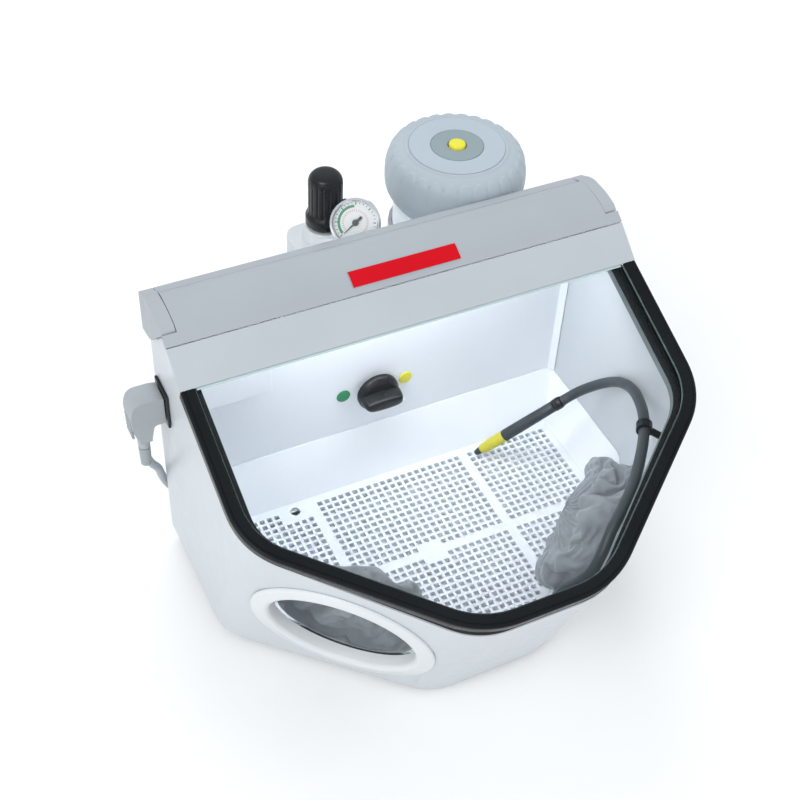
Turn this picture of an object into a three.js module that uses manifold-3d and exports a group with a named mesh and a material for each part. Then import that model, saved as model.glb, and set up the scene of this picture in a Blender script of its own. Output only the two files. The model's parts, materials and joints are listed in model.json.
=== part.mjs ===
// Bench fine-blasting cabinet: housing with slanted hinged window, floor grid, arm ports,
// handpiece on a hose, abrasive tank and pressure regulator behind. Millimetres, +Z up.
// In the unit frame x = 0 is the middle, y = 0 the rear face of the housing, z = 0 the bench.
import * as THREE from 'three';
import { mergeVertices } from 'three/addons/utils/BufferGeometryUtils.js';
import Module from 'manifold-3d';

const wasm = await Module();
wasm.setup();

// ---- driving dimensions ----
const GAP = 0.3;                      // clearance between separate pieces that touch
const WINDOW_TILT = 21.9;             // slope of the window plane, degrees
const WINDOW_ORIGIN = [0, -90.3, 263.2]; // middle of the front panel's lower edge
const HALF_WIDTH = 192.5;             // lid and end caps
const SHELL = { half: 187.3, shoulder: 123.7, halfFront: 53.8, front: 239.7 };
const LID = { half: HALF_WIDTH, shoulder: 123.8, halfFront: 53.8, front: 239.7 };
const CORNER = 24;                    // rounding of the housing's upright corners
const WALL = 4;
const TRIM = 10;                      // depth of the black window trim
const TRIM_WIDTH = 11;
const SEAL_DEPTH = 7.4;               // rubber seal below the trim
const RIM = 18;                       // the housing's rim lies this far under the window plane
const PANE = { top: 3.5, thick: 4, inset: 5 };
const BOTTOM = 3;                     // the housing stands this high on its feet
const HINGE = { y: -22, z: 284, knuckle: 12, pin: 3 };
const CAP_INNER = 181.4;              // inner face of the end caps
const LEDGE = 80;                     // top of the tub
const GRID_TOP = 41;
const GRID_THICK = 3.5;
const LINER_FRONT = -13.5;
const PORT = { x: 120.5, y: -218.6, z: 95.3, opening: 58.5, flange: 74, hole: 62 };
const TANK = { x: 105.4, y: 61, top: 300.6, capRadius: 60, radius: 51.5, lobes: 28 };
const REGULATOR = { x: -17, y: 55, knobTop: 309.6, knobBase: 261 };
const GAUGE = { x: -6.9, y: 18, z: 283, radius: 20.5, azimuth: -25, elevation: 27 };
const SELECTOR = { x: 0, z: 125, radius: 19 };
const DOT_SPACING = 29.5;
const HOSE_RADIUS = 4.5;
const LEAD_RADIUS = 3.5;
const COIL = { x: -95, y: 60, inner: 28, outer: 49, height: 14 };
const FRONT_Y = WINDOW_ORIGIN[1] - LID.front * Math.cos(WINDOW_TILT * Math.PI / 180);
const REAR_Y = TANK.y + TANK.capRadius;

// route of the blasting hose, from its fitting to the handpiece
const HOSE_ROUTE = [
  [50, -252, 80.3], [50, -252.4, 90], [51.5, -256.5, 103], [56.6, -264.5, 118],
  [64.5, -269.3, 134.5], [72.5, -266.9, 149.6], [84, -258.9, 163], [98.5, -249.3, 172],
  [113.1, -237.7, 177.7], [126.2, -224.2, 181.7], [138.7, -209.6, 184.2], [150.1, -194, 185],
  [159.6, -177.3, 183.5], [167.1, -159.9, 179.4], [172.8, -142.8, 172.9], [175.8, -126.3, 163.3],
  [176, -111.4, 150.8], [171.4, -98.4, 137], [163.6, -88.3, 123.8], [157.5, -83.9, 116],
  [151.5, -81.55, 110.15],
];
const HANDPIECE_REAR = [151.1, -81.4, 109.8];
const NOZZLE_END = [84.4, -55.3, 45];

// route of the mains lead, from the connector's boot to its coil on the bench
const LEAD_ROUTE = [
  [-208, -22, 146.7], [-208, -22, 137], [-205.5, -20.5, 127], [-201.5, -16.5, 116],
  [-197, -9.5, 104], [-193.5, -1.5, 91], [-190.5, 5, 77], [-186.5, 9.5, 62],
  [-180, 12.5, 47], [-171, 14, 33], [-160, 14.5, 20], [-147, 14.5, 10],
  [-134, 14.5, 5], [-122, 14.5, 3.7],
];

// ---- materials ----
const paint = (color, roughness, metalness = 0) =>
  new THREE.MeshStandardMaterial({ color, roughness, metalness });
const WHITE = paint(0xe6e8ee, 0.4);
const LINER_WHITE = paint(0xdde3ec, 0.35);
const BAR_GREY = paint(0xb9bac2, 0.45);
const CAP_GREY = paint(0xa9aaaf, 0.5);
const BLACK = paint(0x16181a, 0.5);
const RUBBER = paint(0x1c1f20, 0.8);
const GLASS = new THREE.MeshStandardMaterial(
  { color: 0xe8f4f2, roughness: 0.05, transparent: true, opacity: 0.2 });
const FABRIC = paint(0x8c9698, 0.9);
const RED = paint(0xc4122c, 0.4);
const YELLOW = paint(0xc9c22a, 0.45);
const GREEN = paint(0x2f8a5c, 0.45);
const SLATE = paint(0x2e3a3f, 0.55);
const TANK_GREY = paint(0xb7bcbf, 0.45);
const LIGHT_GREY = paint(0xc9ccd0, 0.45);
const CHROME = paint(0xc8ccd0, 0.15, 1);
const BRASS = paint(0xb08d4f, 0.3, 1);
const STEEL = paint(0x9a9da0, 0.35, 1);

// ---- closed meshes and booleans ----
function signedVolume(position, index) {
  const [a, b, c] = [new THREE.Vector3(), new THREE.Vector3(), new THREE.Vector3()];
  let sum = 0;
  for (let i = 0; i < index.length; i += 3) {
    a.fromBufferAttribute(position, index[i]);
    b.fromBufferAttribute(position, index[i + 1]);
    c.fromBufferAttribute(position, index[i + 2]);
    sum += a.dot(b.cross(c));
  }
  return sum;
}

// one closed surface: shared vertices merged, slivers of no area dropped, faces pointing out
function closed(geometry) {
  const bare = geometry.clone();
  bare.deleteAttribute('normal');
  bare.deleteAttribute('uv');
  const merged = mergeVertices(bare, 1e-4);
  const source = merged.index.array;
  const kept = [];
  for (let i = 0; i < source.length; i += 3) {
    const [a, b, c] = source.slice(i, i + 3);
    if (a !== b && b !== c && a !== c) kept.push(a, b, c);
  }
  if (signedVolume(merged.attributes.position, kept) < 0) kept.reverse();
  merged.setIndex(kept);
  return merged;
}

function solid(geometry) {
  const body = closed(geometry);
  return new wasm.Manifold(new wasm.Mesh({
    numProp: 3,
    vertProperties: new Float32Array(body.attributes.position.array),
    triVerts: new Uint32Array(body.index.array),
  }));
}

function surface(body) {
  const found = body.getMesh();
  const geometry = new THREE.BufferGeometry();
  geometry.setAttribute('position', new THREE.BufferAttribute(found.vertProperties, 3));
  geometry.setIndex(new THREE.BufferAttribute(found.triVerts, 1));
  return geometry;
}

const join = (first, ...rest) => rest.reduce((sum, next) => sum.add(next), first);
const cut = (body, ...tools) => tools.reduce((left, tool) => left.subtract(tool), body);

// ---- outlines ----
// moves every edge of a closed counter-clockwise polygon inwards by its distance
function insetPolygon(points, distance) {
  const count = points.length;
  const edge = (i) => {
    const [p, q] = [points[i], points[(i + 1) % count]];
    const length = Math.hypot(q[0] - p[0], q[1] - p[1]);
    const normal = [-(q[1] - p[1]) / length, (q[0] - p[0]) / length];
    return { normal, offset: normal[0] * p[0] + normal[1] * p[1] + distance };
  };
  return points.map((_, i) => {
    const [a, b] = [edge((i + count - 1) % count), edge(i)];
    const det = a.normal[0] * b.normal[1] - a.normal[1] * b.normal[0];
    const x = (a.offset * b.normal[1] - b.offset * a.normal[1]) / det;
    const y = (b.offset * a.normal[0] - a.offset * b.normal[0]) / det;
    return [x, y];
  });
}

// a polygon with its corners rounded; each point may name its own radius
function roundedShape(points, radius = 0) {
  const shape = new THREE.Shape();
  const count = points.length;
  points.forEach((point, i) => {
    const here = new THREE.Vector2(point[0], point[1]);
    const before = new THREE.Vector2(...points[(i + count - 1) % count]);
    const after = new THREE.Vector2(...points[(i + 1) % count]);
    const reach = Math.min(point[2] ?? radius, here.distanceTo(before) / 2.01,
      here.distanceTo(after) / 2.01);
    const start = here.clone().add(before.sub(here).setLength(reach));
    const end = here.clone().add(after.sub(here).setLength(reach));
    if (i === 0) shape.moveTo(start.x, start.y);
    else shape.lineTo(start.x, start.y);
    if (reach > 0) shape.quadraticCurveTo(here.x, here.y, end.x, end.y);
  });
  shape.closePath();
  return shape;
}

// plan of lid or housing in the window plane: x across, t up the slope (t = 0 at the panel edge)
function windowOutline(size, rear, inset = 0) {
  const corners = [
    [-size.half, rear], [-size.half, -size.shoulder], [-size.halfFront, -size.front],
    [size.halfFront, -size.front], [size.half, -size.shoulder], [size.half, rear],
  ];
  const moved = insetPolygon(corners, inset);
  moved[0][1] = rear;
  moved[5][1] = rear;
  return moved;
}

function windowShape(size, rear, inset, radius) {
  const corners = windowOutline(size, rear, inset);
  return roundedShape(corners.map(([x, t], i) => [x, t, i === 0 || i === 5 ? 0 : radius]));
}

// ---- solids from outlines ----
const extrude = (shape, depth, curveSegments = 6) =>
  new THREE.ExtrudeGeometry(shape, { depth, bevelEnabled: false, curveSegments });

const tilt = THREE.MathUtils.degToRad(WINDOW_TILT);
const windowMatrix = new THREE.Matrix4()
  .makeRotationX(tilt)
  .setPosition(...WINDOW_ORIGIN);

// prism standing on the window plane, from depth `from` down to depth `to` below it
function windowPrism(shape, from, to, curveSegments = 6) {
  return extrude(shape, to - from, curveSegments).translate(0, 0, -to).applyMatrix4(windowMatrix);
}

const yzToX = new THREE.Matrix4().makeBasis(
  new THREE.Vector3(0, 1, 0), new THREE.Vector3(0, 0, 1), new THREE.Vector3(1, 0, 0));

// a (y, z) profile swept along x from `from` to `to`
function alongX(shape, from, to, curveSegments = 6) {
  return extrude(shape, to - from, curveSegments).applyMatrix4(yzToX).translate(from, 0, 0);
}

function box(min, max) {
  const size = max.map((high, i) => high - min[i]);
  return new THREE.BoxGeometry(...size)
    .translate(...max.map((high, i) => (high + min[i]) / 2));
}

// a solid of revolution: profile of [radius, height], axis from `base` along `direction`
function turned(profile, base, direction = [0, 0, 1], segments = 32) {
  const points = profile.map(([r, h]) => new THREE.Vector2(r, h));
  const turn = new THREE.Quaternion().setFromUnitVectors(
    new THREE.Vector3(0, 1, 0), new THREE.Vector3(...direction).normalize());
  return new THREE.LatheGeometry(points, segments).applyQuaternion(turn).translate(...base);
}

const rod = (radius, length, base, direction, segments = 24) =>
  turned([[0, 0], [radius, 0], [radius, length], [0, length]], base, direction, segments);

// a tube of round section along a smooth curve through the route's points
function tube(route, radius, sides, steps) {
  const curve = new THREE.CatmullRomCurve3(
    route.map((p) => new THREE.Vector3(...p)), false, 'centripetal');
  const section = new THREE.Shape();
  for (let i = 0; i < sides; i += 1) {
    const angle = (i / sides) * 2 * Math.PI;
    const [x, y] = [radius * Math.cos(angle), radius * Math.sin(angle)];
    if (i === 0) section.moveTo(x, y);
    else section.lineTo(x, y);
  }
  section.closePath();
  return new THREE.ExtrudeGeometry(section, { steps, extrudePath: curve, bevelEnabled: false });
}

// ---- scene graph ----
const unit = new THREE.Group();
unit.position.set(0, -(FRONT_Y + REAR_Y) / 2, 0);
const windowGroup = new THREE.Group();
windowGroup.rotation.x = tilt;
windowGroup.position.set(...WINDOW_ORIGIN);
unit.add(windowGroup);

function piece(name, geometry, material, parent = unit) {
  const shape = geometry.isBufferGeometry ? closed(geometry) : surface(geometry);
  const mesh = new THREE.Mesh(shape, material);
  mesh.name = name;
  parent.add(mesh);
  return mesh;
}

// ---- housing ----
const BEVEL_TOP = 15;                 // the rounded bottom edge ends at this height

// plan outline of the housing at a height, walls leaning in towards the bottom
function planOutline(z, inset) {
  const corners = windowOutline(SHELL, 0, 0).slice(1, 5).map(([x, t]) => {
    const top = new THREE.Vector3(x, t, 0).applyMatrix4(windowMatrix);
    return [x, top.y + (top.z - z) * Math.tan(tilt)];
  });
  const plan = insetPolygon(
    [[-SHELL.half, 0], ...corners, [SHELL.half, 0]], inset);
  plan[0][1] = 0;
  plan[5][1] = 0;
  return plan;
}

// the housing's outer or inner volume, from a depth below the window plane down: leaning
// walls with a rounded edge at the bottom
function housingVolume(inset, bottom, rearFace, rim = RIM) {
  const rear = 115;
  const walls = solid(windowPrism(windowShape(SHELL, rear, inset, CORNER - inset), rim, 330, 4));
  const room = (low, high) => solid(box([-HALF_WIDTH, -330, low], [HALF_WIDTH, rearFace, high]));
  const upper = walls.intersect(room(BEVEL_TOP, 283));
  const bevel = BEVEL_TOP - bottom;
  const plan = planOutline(BEVEL_TOP, inset + bevel);
  const shape = roundedShape(plan.map(([x, y], i) => [x, y, i === 0 || i === 5 ? 0 : 12]));
  const skirt = new THREE.ExtrudeGeometry(shape, {
    depth: 40, bevelThickness: bevel, bevelSize: bevel, bevelSegments: 3, curveSegments: 4,
  }).translate(0, 0, bottom + bevel);
  const lower = walls.intersect(room(bottom, BEVEL_TOP)).intersect(solid(skirt));
  return upper.add(lower);
}

const capOutline = [
  [0, 250], [0, 287], [-4, 288.7], [-10, 292], [-18, 295, 6], [-37, 295, 8], [-50, 292],
  [-55.5, 288.3, 3], [-46, 280, 6], [-20.6, 254, 8],
];
const portNormal = (side) => {
  const shoulder = new THREE.Vector3(SHELL.half, -SHELL.shoulder, 0).applyMatrix4(windowMatrix);
  const front = new THREE.Vector3(SHELL.halfFront, -SHELL.front, 0).applyMatrix4(windowMatrix);
  const upslope = new THREE.Vector3(0, -Math.sin(tilt), Math.cos(tilt));
  const normal = front.sub(shoulder).cross(upslope).normalize();
  if (normal.x < 0) normal.negate();
  return [normal.x * side, normal.y, normal.z];
};
const portCentre = (side, out = 0) => {
  const normal = portNormal(side);
  return [PORT.x * side + normal[0] * out, PORT.y + normal[1] * out, PORT.z + normal[2] * out];
};
const EXTRACTION = { x: -95, z: 55, bore: 17, outer: 20 };
const INLET = { y: -22, z: 189, front: 5, back: 10, halfZ: 13 };

function housingShell() {
  const outer = housingVolume(0, BOTTOM, 0);
  let shell = outer.subtract(housingVolume(WALL, BOTTOM + WALL, -WALL, RIM - 5));
  const capSpace = solid(alongX(roundedShape(insetPolygon(capOutline, -GAP)), -200, 200));
  const rearTop = solid(box([-200, -60, 272], [200, 1, 300]));
  shell = cut(shell, capSpace.intersect(solid(box([-200, -60, 240], [200, 1, 300]))), rearTop);
  for (const side of [-1, 1]) {
    const hole = rod(PORT.hole, 40, portCentre(side, -20), portNormal(side), 32);
    shell = cut(shell, solid(hole));
  }
  const mains = box([-192, INLET.y - INLET.front - GAP, INLET.z - INLET.halfZ - GAP],
    [-180, INLET.y + INLET.back + GAP, INLET.z + INLET.halfZ + GAP]);
  const duct = rod(EXTRACTION.outer + GAP, 12, [EXTRACTION.x, -8, EXTRACTION.z], [0, 1, 0]);
  return cut(shell, solid(mains), solid(duct));
}

// ---- tub, liner and grid ----
const tubPlan = (z) => {
  const low = [[-165, -41], [-165, -131], [-47.5, -238], [47.5, -238], [165, -131], [165, -41]];
  const high = [[-182.6, -14.5], [-182.6, -151.5], [-53.5, -269.5], [53.5, -269.5],
    [182.6, -151.5], [182.6, -14.5]];
  const f = (z - GRID_TOP) / (LEDGE - GRID_TOP);
  return low.map(([x, y], i) => [x + (high[i][0] - x) * f, y + (high[i][1] - y) * f]);
};

// a frustum between two plans with the same number of corners
function frustum(lowPlan, lowZ, highPlan, highZ) {
  const shape = roundedShape(lowPlan);
  const geometry = extrude(shape, highZ - lowZ, 1).translate(0, 0, lowZ);
  const position = geometry.attributes.position;
  for (let i = 0; i < position.count; i += 1) {
    if (position.getZ(i) > (lowZ + highZ) / 2) {
      const near = lowPlan.findIndex(([x, y]) =>
        Math.hypot(x - position.getX(i), y - position.getY(i)) < 0.01);
      position.setXY(i, ...highPlan[near]);
    }
  }
  return geometry;
}

function chamberTub() {
  const thick = 2.6;
  const floorZ = 20;
  const seat = GRID_TOP - GRID_THICK - GAP;
  const lowerPlan = insetPolygon(tubPlan(GRID_TOP), 7);
  const room = join(
    solid(frustum(tubPlan(seat), seat, tubPlan(LEDGE + 1), LEDGE + 1)),
    solid(frustum(lowerPlan, floorZ, lowerPlan, seat + 1)));
  const skin = join(
    solid(frustum(insetPolygon(tubPlan(seat - 3), -thick), seat - 3,
      insetPolygon(tubPlan(LEDGE), -thick), LEDGE)),
    solid(frustum(insetPolygon(lowerPlan, -thick), floorZ - 3,
      insetPolygon(lowerPlan, -thick), seat - 2)));
  const inside = housingVolume(WALL + GAP, BOTTOM + WALL + GAP, -WALL - GAP);
  const flangeSlab = solid(box([-190, -300, LEDGE - 2.5], [190, 0, LEDGE]));
  const hoseHole = rod(6 + GAP, 50, [HOSE_ROUTE[0][0], HOSE_ROUTE[0][1], 40], [0, 0, 1]);
  const dustSlot = box([EXTRACTION.x - 20, -60, 21], [EXTRACTION.x + 20, -30, 36]);
  const portSpace = (side) =>
    solid(rod(PORT.hole + 2.5, 44, portCentre(side, -24), portNormal(side), 32));
  const body = join(skin, flangeSlab).intersect(inside);
  return cut(body, room, solid(hoseHole), solid(dustSlot), portSpace(-1), portSpace(1));
}

function backLiner() {
  const plan = [
    [-182.7, -20], [-179, LINER_FRONT], [179, LINER_FRONT], [182.7, -20],
    [182.7, -17], [180, -11], [-180, -11], [-182.7, -17],
  ];
  const panel = solid(extrude(roundedShape(plan), 249 - LEDGE - GAP).translate(0, 0, LEDGE + GAP));
  const boxCorner = box([-190, -30, 173 - GAP], [-100 + GAP, 0, 270]);
  const spindleHole = rod(4.2, 20, [SELECTOR.x, -24, SELECTOR.z], [0, 1, 0]);
  return cut(panel, solid(boxCorner), solid(spindleHole));
}

const ROUND_HOLE = [-90.6, -51];
function floorGrid() {
  const plan = insetPolygon(tubPlan(GRID_TOP), 0.5);
  const plate = solid(extrude(roundedShape(plan), GRID_THICK, 1)
    .translate(0, 0, GRID_TOP - GRID_THICK));
  const hole = rod(4.5, 10, [...ROUND_HOLE, GRID_TOP - 6], [0, 0, 1], 16);
  const room = solid(frustum(insetPolygon(tubPlan(GRID_TOP - GRID_THICK - GAP), GAP),
    GRID_TOP - GRID_THICK - GAP, insetPolygon(tubPlan(GRID_TOP + 1), GAP), GRID_TOP + 1));
  return cut(plate.intersect(room), solid(hole));
}

// ---- seal, trim and pane ----
const SEAL_REAR = 28;
const ring = (size, rear, outerInset, width, radius, from, to) => {
  const outer = solid(windowPrism(windowShape(size, rear, outerInset, radius), from, to, 5));
  const inner = solid(windowPrism(
    windowShape(size, rear + 5, outerInset + width, radius - width * 0.6), from - 1, to + 1, 5));
  return outer.subtract(inner);
};

function paneShape(grow) {
  return windowShape(LID, 25 + grow, PANE.inset - grow, CORNER - 4);
}

function windowTrim() {
  const body = ring(LID, -GAP, 0, TRIM_WIDTH, CORNER + 6, 0, TRIM);
  const groove = windowPrism(paneShape(GAP), PANE.top - GAP, PANE.top + PANE.thick + GAP, 4);
  return body.subtract(solid(groove)).transform(
    new THREE.Matrix4().copy(windowMatrix).invert().elements);
}

const rimSeal = () =>
  ring(SHELL, SEAL_REAR, 0.4, 12, CORNER, RIM - GAP - SEAL_DEPTH, RIM - GAP);

// ---- hinge bar, caps and front panel ----
const arcPoints = (radius, from, to, count) => Array.from({ length: count + 1 }, (_, i) => {
  const angle = THREE.MathUtils.degToRad(from + (to - from) * i / count);
  return [HINGE.y + radius * Math.cos(angle), HINGE.z + radius * Math.sin(angle)];
});
const LOBE_RADIUS = 34.4;             // the full-width part stays outside this radius

function hingeBar() {
  const crown = [
    ...arcPoints(HINGE.knuckle, 33.5, 69, 3), [-24, 295.4], [-36.7, 294.9], [-49.8, 292.3],
    [-55.9, 289.1], [-64, 283.9], [-61, 279.8], [-53.5, 284.4], [-48, 287], [-36.7, 289.6],
    [-27, 288], [-22, 284],
  ];
  const wing = [[-55.9, 289.1], [-64, 283.9], [-61, 279.8], [-55.4, 283.2]];
  const between = solid(alongX(roundedShape(crown), -CAP_INNER + GAP, CAP_INNER - GAP));
  const knuckle = solid(rod(HINGE.knuckle, 2 * (CAP_INNER - GAP),
    [-CAP_INNER + GAP, HINGE.y, HINGE.z], [1, 0, 0], 24));
  const lobe = solid(rod(LOBE_RADIUS, 400, [-200, HINGE.y, HINGE.z], [1, 0, 0], 72));
  const wide = solid(alongX(roundedShape(wing), -HALF_WIDTH, HALF_WIDTH)).subtract(lobe);
  let bar = join(between, knuckle, wide);
  for (const side of [-1, 1]) {
    bar = cut(bar, solid(rod(HINGE.pin + GAP, 24,
      [side * 160, HINGE.y, HINGE.z], [side, 0, 0], 16)));
  }
  return bar;
}

function frontPanel() {
  const profile = [[-64.5, 283.4], [-90.3, 263.2], [-88.4, 260.9], [-62.6, 280.9]];
  return alongX(roundedShape(profile), -HALF_WIDTH, HALF_WIDTH);
}

function barLabel() {
  const profile = [
    [-47.15, 293.65], [-50.05, 293.05], [-56.3, 289.8], [-59.43, 287.77],
    [-59.16, 287.35], [-56.05, 289.4], [-49.9, 292.6], [-47.05, 293.16],
  ];
  return alongX(roundedShape(profile), -43, 48);
}

function endCap(side) {
  const [from, to] = side < 0 ? [-HALF_WIDTH, -CAP_INNER] : [CAP_INNER, HALF_WIDTH];
  const body = solid(alongX(roundedShape(capOutline), from, to, 4));
  const pinHole = rod(HINGE.pin + GAP, 40, [side * 170, HINGE.y, HINGE.z], [side, 0, 0]);
  const cover = box([side > 0 ? 189 : -200, -60, 240], [side > 0 ? 200 : -189, 10, 300]);
  return cut(body, solid(pinHole).subtract(solid(cover)));
}

const hingePin = (side) =>
  rod(HINGE.pin, 26, [side * 162, HINGE.y, HINGE.z], [side, 0, 0], 14);

function rearStrip() {
  const profile = [
    ...arcPoints(HINGE.knuckle + 0.5, 33.5, -20, 6), [-9, 272.3], [0, 272.3],
    [0, 287], [-4, 289],
  ];
  return alongX(roundedShape(profile), -CAP_INNER + GAP, CAP_INNER - GAP);
}

// ---- arm ports ----
function armRing(side) {
  const profile = [
    [PORT.opening, -8], [PORT.opening, 4], [PORT.flange - 3, 4], [PORT.flange, GAP], [PORT.hole - GAP, GAP], [PORT.hole - GAP, -8],
    [PORT.opening, -8],
  ];
  return turned(profile, portCentre(side), portNormal(side), 32);
}

function armSleeve(side) {
  const profile = [
    [53, -9], [61, -9], [61, -18], [63, -28], [60, -42], [46, -51], [31, -54],
    [31, -50], [44, -47], [56, -39], [58.5, -28], [57, -18], [53, -9],
  ];
  return turned(profile, portCentre(side), portNormal(side), 20);
}

// ---- fittings inside the chamber ----
function electricsBox() {
  const body = solid(box([-182.7, -30, 173], [-100, -4.6, 249]));
  const pocket = solid(box([-190, -27.4, 175.6], [-103, -7.2, 246.4]));
  return body.subtract(pocket);
}

function mainsInlet() {
  const flange = solid(box([-190, INLET.y - 14, INLET.z - 17], [-SHELL.half - GAP,
    INLET.y + 14, INLET.z + 17]));
  const body = solid(box([-SHELL.half - GAP, INLET.y - INLET.front, INLET.z - INLET.halfZ],
    [-162, INLET.y + INLET.back, INLET.z + INLET.halfZ]));
  return flange.add(body);
}

function selectorKnob() {
  const disc = solid(turned([[0, 0], [SELECTOR.radius, 0], [SELECTOR.radius, 5],
    [SELECTOR.radius - 3, 8], [0, 8]], [0, 0, 0], [0, -1, 0], 28));
  const grip = solid(box([-18, -21, -6.5], [18, -7, 6.5]));
  const rounded = solid(rod(18, 30, [0, 0, 0], [0, -1, 0], 28));
  return join(disc, grip.intersect(rounded));
}

const SPOT = (x, material, name) => piece(name,
  rod(6.3, 1, [SELECTOR.x + x, LINER_FRONT - GAP, SELECTOR.z], [0, -1, 0], 20), material);

function hoseClip() {
  const [before, [x, y, z], after] = HOSE_ROUTE.slice(10, 13);
  const along = new THREE.Vector3(...after).sub(new THREE.Vector3(...before)).normalize();
  const band = HOSE_RADIUS + GAP;
  const clamp = solid(turned([[band, -4], [band + 1.8, -4], [band + 1.8, 4], [band, 4],
    [band, -4]], [x, y, z], along.toArray(), 16));
  const normal = new THREE.Vector3(...portNormal(1));
  const foot = new THREE.Vector3(x, y, z).addScaledVector(normal, band + 0.6);
  const reach = PORT.x * normal.x + PORT.y * normal.y + PORT.z * normal.z - WALL - GAP
    - foot.dot(normal);
  const post = solid(rod(3, reach, foot.toArray(), normal.toArray(), 12));
  const plate = solid(rod(7, 2.5, foot.addScaledVector(normal, reach - 2.5).toArray(),
    normal.toArray(), 12));
  return join(clamp, post, plate);
}

// handpiece stages, measured from the hose end towards the nozzle: [from, to, r from, r to]
const handpieceAxis = new THREE.Vector3(...NOZZLE_END)
  .sub(new THREE.Vector3(...HANDPIECE_REAR));
const HANDPIECE_LENGTH = handpieceAxis.length();
handpieceAxis.normalize();
function handpieceStage(from, to, radii) {
  const step = (to - from) / (radii.length - 1);
  const sides = radii.map((r, i) => [r, from + i * step]);
  const profile = [[0, from], ...sides, [0, to]];
  return turned(profile, HANDPIECE_REAR, handpieceAxis.toArray(), 18);
}

// ---- tank and cap ----
const CAP_BOTTOM = 247;
const TANK_BOTTOM = 128;

function tankBody() {
  const outer = TANK.radius;
  const profile = [
    [8, TANK_BOTTOM], [14, TANK_BOTTOM], [outer, 165], [outer, 243], [46, 248], [46, 284],
    [43, 284], [43, 247], [outer - 3, 241], [outer - 3, 166.5], [8, 134], [8, TANK_BOTTOM],
  ];
  return turned(profile, [TANK.x, TANK.y, 0], [0, 0, 1], TANK.lobes);
}

// one facet per finger scallop round the cap
function capShell() {
  const profile = [
    [0, 292], [47.5, 292], [47.5, 270], [53.5, CAP_BOTTOM + 0.5], [56.5, CAP_BOTTOM + 0.5],
    [59, 253], [TANK.capRadius, 263], [59, 276], [56.5, 288], [50, 296.5], [42.5, TANK.top],
    [0, TANK.top],
  ];
  const body = solid(turned(profile, [TANK.x, TANK.y, 0], [0, 0, 1], TANK.lobes));
  const buttonHole = rod(7.8, 20, [TANK.x, TANK.y, 285], [0, 0, 1], 16);
  return cut(body, solid(buttonHole));
}

const capButton = () => turned([[0, 293], [7.5, 293], [7.5, TANK.top + 0.9], [6.5, TANK.top + 1.8],
  [0, TANK.top + 2]], [TANK.x, TANK.y, 0], [0, 0, 1], 16);

const capSealDisc = () => turned([[0, 284.4], [46, 284.4], [46, 291.6], [0, 291.6]],
  [TANK.x, TANK.y, 0], [0, 0, 1], 24);

function tankOutlet() {
  const profile = [
    [0, 92], [6, 92], [6, 104], [14, 106], [14, TANK_BOTTOM - GAP], [7.6, TANK_BOTTOM - GAP],
    [7.6, 133], [0, 133],
  ];
  const valve = solid(turned(profile, [TANK.x, TANK.y, 0], [0, 0, 1], 16));
  const branch = solid(rod(7, TANK.y - 0.4, [TANK.x, 0.4, 115], [0, 1, 0], 14));
  return valve.add(branch);
}

function tankBracket() {
  const backPlate = solid(box([TANK.x - 45, GAP, 185], [TANK.x + 45, 4, 235]));
  const arm = solid(box([TANK.x - 30, 3, 200], [TANK.x + 30, TANK.y, 220]));
  const collar = solid(rod(TANK.radius + 4, 20, [TANK.x, TANK.y, 200], [0, 0, 1], TANK.lobes));
  const space = solid(rod(TANK.radius + 0.6, 60, [TANK.x, TANK.y, 180], [0, 0, 1], TANK.lobes));
  const wall = solid(box([0, -60, 180], [220, GAP, 240]));
  return cut(join(backPlate, arm, collar), space, wall);
}

// ---- regulator and gauge ----
function regulatorBody() {
  const { x, y, knobBase } = REGULATOR;
  const block = solid(extrude(roundedShape([[-30, -23], [25, -23], [25, 23], [-30, 23]], 16),
    58, 4).translate(x, y, knobBase - 73));
  const shoulder = solid(turned([[0, -16], [20, -16], [19, -9], [17, -5], [17, -2.4], [0, -2.4]],
    [x, y, knobBase], [0, 0, 1], 20));
  const bowl = solid(turned([[0, -121], [12, -119], [17, -111], [17, -72], [0, -72]],
    [x, y, knobBase], [0, 0, 1], 20));
  const spindleHole = solid(rod(4.6, 30, [x, y, knobBase - 21], [0, 0, 1], 14));
  return cut(join(block, shoulder, bowl), spindleHole);
}

function regulatorBracket() {
  const { x, y, knobBase } = REGULATOR;
  const plate = solid(box([x - 34, GAP, knobBase - 66], [x + 30, 4, knobBase - 26]));
  const shelf = solid(box([x - 12, 3, knobBase - 56], [x + 12, y - 23 - GAP, knobBase - 36]));
  return plate.add(shelf);
}

function regulatorKnob() {
  const { x, y, knobTop, knobBase } = REGULATOR;
  const profile = [
    [4.6, knobBase], [16.5, knobBase], [16.5, knobBase + 9], [14.2, knobBase + 12],
    [14.2, knobTop - 8], [12.5, knobTop - 3], [8, knobTop], [0, knobTop],
    [0, knobTop - 3], [4.6, knobTop - 3], [4.6, knobBase],
  ];
  return turned(profile, [x, y, 0], [0, 0, 1], 20);
}

const azimuth = THREE.MathUtils.degToRad(GAUGE.azimuth);
const elevation = THREE.MathUtils.degToRad(GAUGE.elevation);
const gaugeAxis = [Math.sin(azimuth) * Math.cos(elevation),
  -Math.cos(azimuth) * Math.cos(elevation), Math.sin(elevation)];
const gaugeBase = [GAUGE.x, GAUGE.y, GAUGE.z];
const onGauge = (profile, segments) => turned(profile, gaugeBase, gaugeAxis, segments);

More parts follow.
